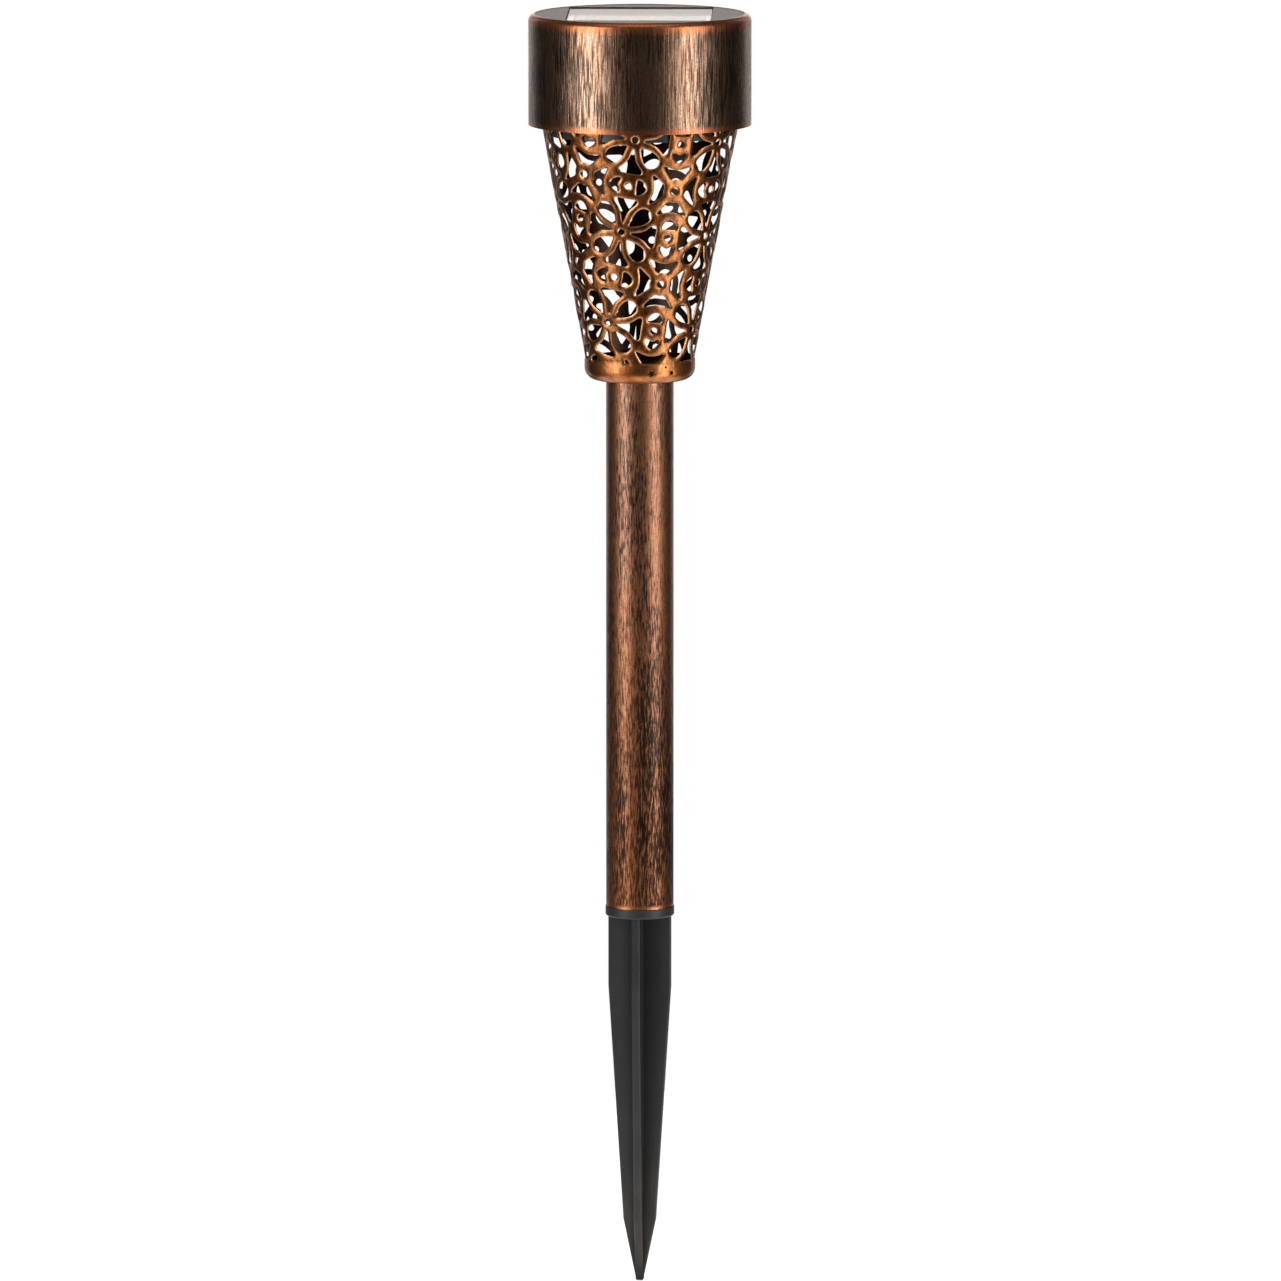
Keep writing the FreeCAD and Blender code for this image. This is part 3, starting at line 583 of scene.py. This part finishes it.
# every opening is drawn pointing along +u, about the point it is placed from
openings = {
    "petal": mirrorAcross([
        (2.5, 0.0), (3.5, 0.62), (5.2, 1.65), (7.3, 2.35), (9.2, 2.1), (10.15, 0.85), (10.3, 0.0)]),
    "gap": mirrorAcross([
        (2.1, 0.0), (3.8, 0.50), (6.0, 1.05), (7.6, 2.3), (8.9, 3.55), (9.9, 3.4), (10.0, 1.6),
        (9.9, 0.0)]),
    "crescent": mirrorAcross([
        (3.35, 0.0), (3.0, 0.9), (3.2, 1.7), (4.6, 2.75), (6.3, 4.15), (7.2, 4.45), (6.7, 2.9),
        (6.25, 1.4), (6.1, 0.0)]),
    "dome": mirrorAcross([
        (2.35, 0.0), (2.35, 1.3), (2.3, 2.3), (3.3, 2.35), (4.7, 1.5), (5.3, 0.55), (5.35, 0.0)]),
    "heart": mirrorAcross([
        (3.2, 0.0), (2.7, 0.9), (2.2, 1.9), (2.9, 2.4), (4.2, 1.75), (5.3, 0.7), (5.6, 0.0)]),
}


def ring(radius, count=16):
    angles = [2 * math.pi * k / count for k in range(count)]
    return [Vector((radius * math.cos(a), radius * math.sin(a))) for a in angles]


def starLoop(radius, arms=6):
    # star with its inner corners at half its reach
    loop = []
    for k in range(2 * arms):
        reach, a = (radius if k % 2 == 0 else radius / 2), math.pi * k / arms
        loop.append(Vector((reach * math.cos(a), reach * math.sin(a))))
    return loop


def placeLoop(loop, x, y, turn):
    c, s = math.cos(turn), math.sin(turn)
    return [Vector((x + p.x * c - p.y * s, y + p.x * s + p.y * c)) for p in loop]


def patternLoops():
    # all openings of the lattice on the sheet laid flat, apex at the origin, middle line up
    step, turn = meshSpec["outlineStep"], shadeSpec["turn"]
    shapes = {}
    for name, points in openings.items():
        loop = evenLoop(smoothLoop(points), step)
        middle = sum(loop, Vector((0, 0))) / len(loop)
        shapes[name] = [middle + (p - middle) * shadeSpec["openScale"] for p in loop]
    pitch, half = shadeSpec["pitch"], shadeSpec["pitch"] / 2
    dot = ring(shadeSpec["dot"])
    cell = [(dot, 0, 0, 0), (ring(shadeSpec["crossDot"]), half, half, 0)]
    for quarter in range(4):
        way = quarter * math.pi / 2
        cell.append((shapes["petal"], 0, 0, way + math.pi / 4))
        cell.append((shapes["gap"], 0, 0, way))
        cell.append((shapes["crescent"], half, half, way))
    for x, y, way in ((half, 0, math.pi / 2), (0, half, 0)):
        cell.append((dot, x, y, 0))
        cell.append((shapes["dome"], x, y, way))
        cell.append((shapes["heart"], x, y, way + math.pi))
    c, s = math.cos(turn), math.sin(turn)
    loops = []
    for column in range(*shadeSpec["columns"]):
        for row in range(*shadeSpec["rows"]):
            for loop, du, dv, way in cell:
                u, v = column * pitch + du, row * pitch + dv
                x = shadeSpec["flower"][0] + u * c + v * s
                y = shadeSpec["flower"][1] - u * s + v * c
                loops.append(placeLoop(loop, x, y, way - turn))
    return loops


def polarOf(p):
    return math.hypot(p.x, p.y), math.atan2(p.x, p.y)


def clipLoop(loop, low, high, side):
    # keeps the part of an opening that lies on the cone between its plain rims and off the seam
    limits = [
        lambda p: polarOf(p)[0] - low,
        lambda p: high - polarOf(p)[0],
        lambda p: (halfSector - polarOf(p)[1]) * polarOf(p)[0] - side,
        lambda p: (halfSector + polarOf(p)[1]) * polarOf(p)[0] - side,
    ]
    for limit in limits:
        kept = []
        for a, b in zip(loop, loop[1:] + loop[:1]):
            da, db = limit(a), limit(b)
            if da >= 0:
                kept.append(a)
            if (da >= 0) != (db >= 0):
                kept.append(a.lerp(b, da / (da - db)))
        loop = kept
        if len(loop) < meshSpec["leastPoints"]:
            return None
    return loop


def loopArea(loop):
    return 0.5 * sum(a.x * b.y - b.x * a.y for a, b in zip(loop, loop[1:] + loop[:1]))


def shadeOpenings():
    rimLow, rimHigh = rhoBand + shadeSpec["lowRim"], rhoTop - shadeSpec["topRim"]
    found = []
    for loop in patternLoops():
        near = [polarOf(p) for p in loop]
        if max(r for r, _ in near) < rimLow or min(r for r, _ in near) > rimHigh:
            continue
        if min(abs(a) for _, a in near) > halfSector:
            continue
        kept = clipLoop(loop, rimLow, rimHigh, shadeSpec["seamStrip"])
        if kept and abs(loopArea(kept)) > shadeSpec["smallest"]:
            kept = evenLoop(kept, meshSpec["outlineStep"])
            if loopArea(kept) < 0:
                kept.reverse()
            found.append(kept)
    return found


# small holes stamped in the bottom band: degrees round from the front, drop under the band's top, outline
bandHoles = (
    (12, 2.8, starLoop(1.15)), (35, 2.8, starLoop(0.95)), (28, 1.0, ring(0.3, 10)),
    (150, 2.8, starLoop(0.8)), (-112, 2.7, starLoop(0.7)),
)


def bandMarks():
    marks = []
    for degrees, down, loop in bandHoles:
        rho = rhoBand - down
        phi = math.radians(degrees) * sinCone
        squeeze = rhoBand * sinCone / shadeSpec["bandR"]
        loop = [Vector((p.x * squeeze, p.y)) for p in loop]
        loop = evenLoop(loop, meshSpec["markStep"])
        marks.append(placeLoop(loop, rho * math.sin(phi), rho * math.cos(phi), -phi))
    return marks


def insideLoop(xs, ys, loop):
    hit = np.zeros(len(xs), bool)
    for a, b in zip(loop, loop[1:] + loop[:1]):
        crosses = (a.y > ys) != (b.y > ys)
        at = (b.x - a.x) * (ys - a.y) / ((b.y - a.y) if b.y != a.y else 1e-12) + a.x
        hit ^= crosses & (xs < at)
    return hit


print("stage: shade pattern laid out")


def sheetRim():
    # outer edge of the flat sheet; both seam edges have the same spacing, so that they meet when rolled
    spec = shadeSpec
    dishRun = (spec["bandTop"] - spec["base"] - spec["dishRound"]) + spec["dishRound"] * math.pi / 2
    rhoEnd = rhoBand - dishRun - (spec["bandR"] - spec["dishRound"] - spec["centreHole"])
    rhos = np.linspace(rhoEnd, rhoTop, meshSpec["seamSteps"])
    angles = np.linspace(-halfSector, halfSector, meshSpec["rimSteps"])

    def at(rho, phi):
        return Vector((rho * math.sin(phi), rho * math.cos(phi)))

    left = [at(r, -halfSector) for r in rhos]
    top = [at(rhoTop, a) for a in angles[1:-1]]
    right = [at(r, halfSector) for r in reversed(rhos)]
    bottom = [at(rhoEnd, a) for a in reversed(angles[1:-1])]
    return left + top + right + bottom, rhoEnd


def fillPoints(loops, rhoEnd, tree):
    # rings that follow every opening, then an even grid on the plain metal between them
    spec = meshSpec
    taken, points = set(), []

    def offer(p, clear, cell):
        rho, phi = polarOf(p)
        if not rhoEnd + spec["rimClear"] < rho < rhoTop - spec["rimClear"]:
            return
        if (halfSector - abs(phi)) * rho < spec["seamClear"]:
            return
        key = (round(p.x / cell), round(p.y / cell), cell)
        if key in taken or tree.find((p.x, p.y, 0))[2] < clear:
            return
        taken.add(key)
        points.append(p)

    for depth in spec["rings"]:
        for loop in loops:
            count = len(loop)
            for k, p in enumerate(loop):
                along = (loop[(k + 1) % count] - loop[k - 1]).normalized()
                away = Vector((along.y, -along.x)) * depth
                offer(p + away, depth * spec["ringClear"], spec["ringCell"])
    step, share = spec["grid"], spec["rowShare"]
    reach = rhoTop * math.sin(halfSector) + 1
    for row in range(int(rhoTop / (step * share)) + 2):
        for column in range(int(2 * reach / step)):
            x = -reach + (column + 0.5 * (row % 2)) * step
            offer(Vector((x, row * step * share)), spec["gridClear"], step * spec["gridCell"])
    return points


def flatSheet():
    holes = shadeOpenings() + bandMarks()
    rim, rhoEnd = sheetRim()
    tree = kdtree.KDTree(sum(len(h) for h in holes) * 2)
    k = 0
    for h in holes:
        for a, b in zip(h, h[1:] + h[:1]):
            for p in (a, a.lerp(b, 0.5)):
                tree.insert((p.x, p.y, 0), k)
                k += 1
    tree.balance()
    coords, edges = [], []
    for loop in [rim] + holes:
        start = len(coords)
        coords += loop
        edges += [(start + i, start + (i + 1) % len(loop)) for i in range(len(loop))]
    inner = fillPoints(holes, rhoEnd, tree)
    coords += inner
    verts, _, faces, *_ = delaunay_2d_cdt(coords, edges, [], 0, 1e-6)
    xy = np.array([(v.x, v.y) for v in verts])
    tris = np.array([f for f in faces if len(f) == 3])
    middle = xy[tris].mean(axis=1)
    keep = insideLoop(middle[:, 0], middle[:, 1], rim)
    for h in holes:
        hx, hy = [p.x for p in h], [p.y for p in h]
        inX = (middle[:, 0] > min(hx)) & (middle[:, 0] < max(hx))
        inY = (middle[:, 1] > min(hy)) & (middle[:, 1] < max(hy))
        near = np.where(inX & inY)[0]
        keep[near[insideLoop(middle[near, 0], middle[near, 1], h)]] = False
    tris = tris[keep]
    print("stage: sheet has", len(holes), "openings,", len(xy), "points,", len(tris), "triangles")
    return xy, tris, tree


def solidSheet():
    # two layers and the walls between them, still flat: z is the depth under the outer face
    xy, tris, tree = flatSheet()
    spec = shadeSpec
    count = len(xy)
    near = np.array([tree.find((x, y, 0))[2] for x, y in xy])
    rho = np.hypot(xy[:, 0], xy[:, 1])
    phi = np.arctan2(xy[:, 0], xy[:, 1])
    onCone = rho > rhoBand + spec["coneFrom"]
    slope = np.clip(1 - near / spec["crown"], 0, 1)
    drop = np.where(onCone, spec["edgeDrop"], spec["bandDrop"]) * slope ** 2
    # a slow unevenness that dies away at the rims and at the seam
    across = spec["waveShift"] * np.sin(phi * spec["waveTurns"])
    wave = spec["wave"] * np.sin(rho * spec["waveRate"] + across)
    fade = spec["waveFade"]
    wave *= np.clip((rho - rhoBand) / fade, 0, 1) * np.clip((rhoTop - rho) / fade, 0, 1)
    wave *= np.sqrt(np.clip(np.cos(phi * math.pi / (2 * halfSector)), 0, 1))
    outer = np.column_stack([xy, -drop + wave])
    inside = np.column_stack([xy, np.full(count, -spec["sheet"]) + wave])
    edgeUse = {}
    for a, b, c in tris:
        for e in ((a, b), (b, c), (c, a)):
            edgeUse[e] = edgeUse.get(e, 0) + 1
    seamEdge = (halfSector - np.abs(phi)) * rho < 1e-4
    faces = [tuple(t) for t in tris] + [(a + count, c + count, b + count) for a, b, c in tris]
    for (a, b) in edgeUse:
        if (b, a) not in edgeUse and not (seamEdge[a] and seamEdge[b]):
            faces.append((b, a, a + count, b + count))
    mesh = bpy.data.meshes.new("flatShade")
    mesh.from_pydata(np.vstack([outer, inside]) * mm, [], faces)
    # rubbed edge with a painted highlight, strongest right at each opening's edge
    rim = np.exp(-((near / spec["rubAndHighlightWidth"]) ** 2)) * onCone
    # marks for the finish: which layer is the inside, for its painted shade, and how near an edge each
    # point is, for the rubbed edge and its painted highlight
    marks = {"paintedInsideShade": (np.zeros(count), np.ones(count)), "rim": (rim, rim * spec["innerRubAndHighlight"])}
    for label, layers in marks.items():
        mark = mesh.attributes.new(label, "FLOAT", "POINT")
        mark.data.foreach_set("value", np.concatenate(layers).astype(np.float32))
    work = bmesh.new()
    work.from_mesh(mesh)
    bmesh.ops.delete(work, geom=[v for v in work.verts if not v.link_faces], context="VERTS")
    work.to_mesh(mesh)
    work.free()
    return mesh


def newGeometryTree(name, inputs):
    tree = bpy.data.node_groups.new(name, "GeometryNodeTree")
    tree.interface.new_socket("Geometry", in_out="INPUT", socket_type="NodeSocketGeometry")
    for label, kind in inputs:
        tree.interface.new_socket(label, in_out="INPUT", socket_type=kind)
    tree.interface.new_socket("Geometry", in_out="OUTPUT", socket_type="NodeSocketGeometry")
    return tree, addNode(tree, "NodeGroupInput"), addNode(tree, "NodeGroupOutput")


def endTree(tree, geometry, given, out):
    realise = addNode(tree, "GeometryNodeRealizeInstances")
    feed(tree, realise.inputs["Geometry"], geometry)
    setMaterial = addNode(tree, "GeometryNodeSetMaterial")
    feed(tree, setMaterial.inputs["Geometry"], realise.outputs[0])
    feed(tree, setMaterial.inputs["Material"], given.outputs["Material"])
    feed(tree, out.inputs["Geometry"], setMaterial.outputs[0])


def makeWrapTree():
    # rolls a flat fan of sheet metal into a cone with a rounded dish at its foot
    tree, given, out = newGeometryTree("rollIntoShade", [
        ("Cone Angle", "NodeSocketFloat"), ("Apex Height", "NodeSocketFloat"),
        ("Band Top", "NodeSocketFloat"), ("Band Radius", "NodeSocketFloat"),
        ("Band Wall", "NodeSocketFloat"), ("Dish Round", "NodeSocketFloat"),
        ("Weld", "NodeSocketFloat"), ("Material", "NodeSocketMaterial")])
    value = {s.name: s for s in given.outputs}

    def calc(operation, a, b=None):
        return doMath(tree, operation, a, b)

    parts = addNode(tree, "ShaderNodeSeparateXYZ")
    feed(tree, parts.inputs[0], addNode(tree, "GeometryNodeInputPosition").outputs[0])
    x, y, depth = parts.outputs
    squares = calc("ADD", calc("MULTIPLY", x, x), calc("MULTIPLY", y, y))
    rho = calc("SQRT", squares)
    sinA = calc("SINE", value["Cone Angle"])
    cosA = calc("COSINE", value["Cone Angle"])
    turn = calc("DIVIDE", calc("ARCTAN2", x, y), sinA)
    coneR = calc("MULTIPLY", rho, sinA)
    coneZ = calc("ADD", calc("MULTIPLY", rho, cosA), value["Apex Height"])
    apexToBand = calc("SUBTRACT", value["Band Top"], value["Apex Height"])
    rhoAtBand = calc("DIVIDE", apexToBand, cosA)
    below = calc("MAXIMUM", calc("SUBTRACT", rhoAtBand, rho), 0.0)
    wall = calc("MINIMUM", below, value["Band Wall"])
    past = calc("MAXIMUM", calc("SUBTRACT", below, value["Band Wall"]), 0.0)
    quarter = calc("MULTIPLY", value["Dish Round"], math.pi / 2)
    bend = calc("DIVIDE", calc("MINIMUM", past, quarter), value["Dish Round"])
    flat = calc("MAXIMUM", calc("SUBTRACT", past, quarter), 0.0)
    share = calc("SUBTRACT", 1.0, calc("COSINE", bend))
    lift = calc("MULTIPLY", value["Dish Round"], share)
    bandR = calc("SUBTRACT", calc("SUBTRACT", value["Band Radius"], lift), flat)
    sunk = calc("MULTIPLY", value["Dish Round"], calc("SINE", bend))
    bandZ = calc("SUBTRACT", calc("SUBTRACT", value["Band Top"], wall), sunk)
    onBand = doMath(tree, "MULTIPLY", below, 1 / (shadeSpec["bandBlend"] * mm), clamp=True)
    radius = mixValue(tree, onBand, coneR, bandR)
    height = mixValue(tree, onBand, coneZ, bandZ)
    tilt = mixValue(tree, onBand, value["Cone Angle"], bend)
    outwards = calc("MULTIPLY", depth, calc("COSINE", tilt))
    downwards = calc("MULTIPLY", depth, calc("SINE", tilt))
    radius = calc("ADD", radius, outwards)
    height = calc("SUBTRACT", height, downwards)
    place = addNode(tree, "ShaderNodeCombineXYZ")
    feed(tree, place.inputs["X"], calc("MULTIPLY", radius, calc("SINE", turn)))
    towardsBack = calc("MULTIPLY", radius, calc("COSINE", turn))
    feed(tree, place.inputs["Y"], calc("MULTIPLY", towardsBack, -1.0))
    feed(tree, place.inputs["Z"], height)
    move = addNode(tree, "GeometryNodeSetPosition")
    feed(tree, move.inputs["Geometry"], given.outputs["Geometry"])
    feed(tree, move.inputs["Position"], place.outputs[0])
    weld = addNode(tree, "GeometryNodeMergeByDistance")
    feed(tree, weld.inputs["Geometry"], move.outputs[0])
    feed(tree, weld.inputs["Distance"], value["Weld"])
    endTree(tree, weld.outputs[0], given, out)
    return tree


def makeBarTree():
    # a row of thin printed bars, such as the silver lines on a solar cell
    tree, given, out = newGeometryTree("printedBars", [
        ("Count", "NodeSocketInt"), ("First", "NodeSocketVector"), ("Step", "NodeSocketVector"),
        ("Size", "NodeSocketVector"), ("Turn", "NodeSocketVector"), ("Seed", "NodeSocketInt"),
        ("Material", "NodeSocketMaterial")])
    line = addNode(tree, "GeometryNodeMeshLine", mode="OFFSET")
    feed(tree, line.inputs["Count"], given.outputs["Count"])
    feed(tree, line.inputs["Start Location"], given.outputs["First"])
    feed(tree, line.inputs["Offset"], given.outputs["Step"])
    bar = addNode(tree, "GeometryNodeMeshCube")
    feed(tree, bar.inputs["Size"], given.outputs["Size"])
    rows = addNode(tree, "GeometryNodeInstanceOnPoints")
    feed(tree, rows.inputs["Points"], line.outputs[0])
    feed(tree, rows.inputs["Instance"], bar.outputs[0])
    waver = addNode(tree, "FunctionNodeRandomValue", data_type="FLOAT_VECTOR")
    waver.inputs["Min"].default_value = fingerSpec["leastSize"]
    waver.inputs["Max"].default_value = fingerSpec["mostSize"]
    feed(tree, waver.inputs["Seed"], given.outputs["Seed"])
    feed(tree, rows.inputs["Scale"], waver.outputs["Value"])
    turned = addNode(tree, "GeometryNodeTransform")
    feed(tree, turned.inputs["Geometry"], rows.outputs[0])
    feed(tree, turned.inputs["Rotation"], given.outputs["Turn"])
    endTree(tree, turned.outputs[0], given, out)
    return tree


def grownMesh(name, mesh, tree, **values):
    # runs a tree on a mesh and keeps the result as a plain mesh
    holder = bpy.data.objects.new(name + "Source", mesh)
    bpy.context.scene.collection.objects.link(holder)
    modifier = holder.modifiers.new("grow", "NODES")
    modifier.node_group = tree
    for item in tree.interface.items_tree:
        if item.in_out == "INPUT" and item.name in values:
            modifier[item.identifier] = values[item.name]
    holder.update_tag()
    graph = bpy.context.evaluated_depsgraph_get()
    made = bpy.data.meshes.new_from_object(
        holder.evaluated_get(graph), preserve_all_data_layers=True, depsgraph=graph)
    made.name = name
    holder.modifiers.remove(modifier)
    bpy.data.objects.remove(holder)
    return made


def addPiece(name, mesh, body, smoothAngle=35.0):
    work = bmesh.new()
    work.from_mesh(mesh)
    bmesh.ops.recalc_face_normals(work, faces=work.faces)
    work.to_mesh(mesh)
    work.free()
    mesh.shade_smooth()
    mesh.set_sharp_from_angle(angle=math.radians(smoothAngle))
    piece = bpy.data.objects.new(name, mesh)
    bpy.context.scene.collection.objects.link(piece)
    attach(piece, body)
    return piece


fingerSpec = {
    "count": 40, "wide": 0.09, "thick": 0.03, "busbars": 4, "busWide": 0.9, "margin": 1.6,
    "turn": math.radians(-1.3), "lift": 0.02, "seeds": (3, 5),
    "leastSize": (0.98, 0.7, 1.0), "mostSize": (1.0, 1.3, 1.0),    # printing spread, as shares of a line
}
wrapTree, barTree = makeWrapTree(), makeBarTree()
bandWall = shadeSpec["bandTop"] - shadeSpec["base"] - shadeSpec["dishRound"]
shadeMesh = grownMesh("cutOutShade", solidSheet(), wrapTree, **{
    "Cone Angle": coneAngle, "Apex Height": shadeSpec["apex"] * mm,
    "Band Top": shadeSpec["bandTop"] * mm, "Band Radius": shadeSpec["bandR"] * mm,
    "Band Wall": bandWall * mm, "Dish Round": shadeSpec["dishRound"] * mm,
    "Weld": 0.02 * mm, "Material": finishes["shadeCopper"]})
shadePiece = addPiece("cutOutShade", shadeMesh, "shade")
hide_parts("filigree_shade")
print("stage: shade rolled,", len(shadeMesh.polygons), "faces")


def cellLines():
    # thin fingers one way and a wider busbar across each row of cells
    spec = fingerSpec
    coverLow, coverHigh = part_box("solar_cover")
    side = (coverHigh.x - coverLow.x) / (math.cos(spec["turn"]) + abs(math.sin(spec["turn"])))
    span = side - 2 * spec["margin"] * mm
    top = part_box("solar_cells")[1].z + spec["lift"] * mm
    step, gap = span / (spec["count"] + 1), span / spec["busbars"]
    rows = (
        ("cellFingers", spec["count"], (-span / 2 + step, 0.0, top), (step, 0.0, 0.0),
         (spec["wide"] * mm, span, spec["thick"] * mm)),
        ("cellBusbars", spec["busbars"], (0.0, -span / 2 + gap / 2, top + spec["thick"] * mm),
         (0.0, gap, 0.0), (span, spec["busWide"] * mm, spec["thick"] * mm)),
    )
    for (name, count, first, stride, size), seed in zip(rows, spec["seeds"]):
        bars = grownMesh(name, bpy.data.meshes.new("noMesh"), barTree, Count=count, First=first,
                         Step=stride, Size=size, Turn=(0.0, 0.0, spec["turn"]), Seed=seed,
                         Material=finishes["nickelSteel"])
        addPiece(name, bars, "head")


cellLines()
print("stage: cell lines printed")


studio = {
    "sky": 1.0, "ambient": 0.03, "warm": (1.0, 0.93, 0.87, 1),
    "backCard": 2.0, "backFade": (0.95, 0.985), "upper": 0.08, "upperFade": (-0.3, 0.9),
    "cards": [
        # name, azimuth from the viewer, distance, width, height, centre height, radiance
        ("leftCard", -53, 1.1, 0.54, 1.1, 0.42, 4.8),
        ("leftLowCard", -56, 1.1, 0.54, 0.8, -0.53, 1.5),
        ("rightCard", 54, 1.1, 0.44, 1.1, 0.42, 4.2),
        ("rightLowCard", 56, 1.1, 0.54, 0.8, -0.53, 4.0),
        ("backLeftCard", -150, 1.4, 0.30, 1.4, 0.2, 0.8),
        ("backRightCard", 150, 1.4, 0.30, 1.4, 0.2, 0.8),
    ],
    "topCard": {"place": (0, -0.2, 1.5), "size": 1.0, "radiance": 0.7},
}
floorSpec = {
    "radius": 0.30, "gap": 0.0004, "segments": 128, "clouds": 6.0,
    "grey": (0.9, 0.9, 0.9, 1), "paler": (0.93, 0.93, 0.93, 1), "rough": 0.8, "glow": 0.8,
}
viewSpec = {
    "distance": 3.4, "height": 0.5684, "aim": 0.07818, "lens": 343.0, "sensor": 36.0, "shift": 0.0005,
    "clip": (0.1, 100.0),
}


def paleFloor():
    spec = floorSpec
    work = bmesh.new()
    bmesh.ops.create_circle(work, cap_ends=True, segments=spec["segments"], radius=spec["radius"])
    mesh = bpy.data.meshes.new("floor")
    bmesh.ops.translate(work, verts=work.verts, vec=(0, 0, cadBox[0].z - spec["gap"]))
    work.to_mesh(mesh)
    work.free()
    floor = bpy.data.objects.new("floor", mesh)
    bpy.context.scene.collection.objects.link(floor)
    material, tree, shader, position = newMaterial("paleFloor")
    tone = mixColour(tree, noise(tree, position, spec["clouds"]), spec["grey"], spec["paler"])
    feed(tree, shader.inputs["Base Color"], tone)
    shader.inputs["Roughness"].default_value = spec["rough"]
    shader.inputs["Emission Color"].default_value = (1, 1, 1, 1)
    shader.inputs["Emission Strength"].default_value = spec["glow"]
    mesh.materials.append(material)


def softCard(name, azimuth, distance, width, height, level, radiance):
    light = bpy.data.lights.new(name, "AREA")
    light.shape = "RECTANGLE"
    light.size, light.size_y = width, height
    light.energy = radiance * math.pi * width * height
    card = bpy.data.objects.new(name, light)
    bpy.context.scene.collection.objects.link(card)
    a = math.radians(azimuth)
    card.location = (distance * math.sin(a), -distance * math.cos(a), level)
    inwards = Vector((0, 0, level)) - card.location
    card.rotation_euler = inwards.to_track_quat("-Z", "Y").to_euler()
    card.visible_camera = False


def studioWorld():
    # white behind the object for the camera, dim all round for the metal, with a pale card far behind
    world = bpy.data.worlds.new("studio")
    bpy.context.scene.world = world
    world.use_nodes = True
    tree = world.node_tree
    tree.nodes.clear()
    way = addNode(tree, "ShaderNodeSeparateXYZ")
    feed(tree, way.inputs[0], addNode(tree, "ShaderNodeTexCoord").outputs["Generated"])
    behind = remap(tree, way.outputs["Y"], *studio["backFade"], 0.0, studio["backCard"])
    above = remap(tree, way.outputs["Z"], *studio["upperFade"], 0.0, studio["upper"])
    level = doMath(tree, "ADD", doMath(tree, "ADD", behind, above), studio["ambient"])
    camera = addNode(tree, "ShaderNodeLightPath").outputs["Is Camera Ray"]
    mixed = doMath(tree, "ADD", doMath(tree, "MULTIPLY", camera, studio["sky"]),
                   doMath(tree, "MULTIPLY", doMath(tree, "SUBTRACT", 1.0, camera), level))
    background = addNode(tree, "ShaderNodeBackground")
    feed(tree, background.inputs["Color"], mixColour(tree, camera, studio["warm"], (1, 1, 1, 1)))
    feed(tree, background.inputs["Strength"], mixed)
    output = addNode(tree, "ShaderNodeOutputWorld")
    tree.links.new(background.outputs[0], output.inputs["Surface"])


def addCamera():
    view = viewSpec
    data = bpy.data.cameras.new("camera")
    data.lens, data.sensor_width = view["lens"], view["sensor"]
    data.clip_start, data.clip_end = view["clip"]
    data.shift_x = view["shift"]
    camera = bpy.data.objects.new("camera", data)
    bpy.context.scene.collection.objects.link(camera)
    camera.location = (0, -view["distance"], view["height"])
    sight = Vector((0, 0, view["aim"])) - camera.location
    camera.rotation_euler = sight.to_track_quat("-Z", "Y").to_euler()
    bpy.context.scene.camera = camera


def overheadCard():
    spec = studio["topCard"]
    light = bpy.data.lights.new("topCard", "AREA")
    light.size = spec["size"]
    light.energy = spec["radiance"] * math.pi * spec["size"] ** 2
    card = bpy.data.objects.new("topCard", light)
    bpy.context.scene.collection.objects.link(card)
    card.location = spec["place"]
    card.visible_camera = False


paleFloor()
for card in studio["cards"]:
    softCard(*card)
overheadCard()
studioWorld()
addCamera()
bpy.context.scene.view_settings.view_transform = "Standard"
print("stage: studio ready")
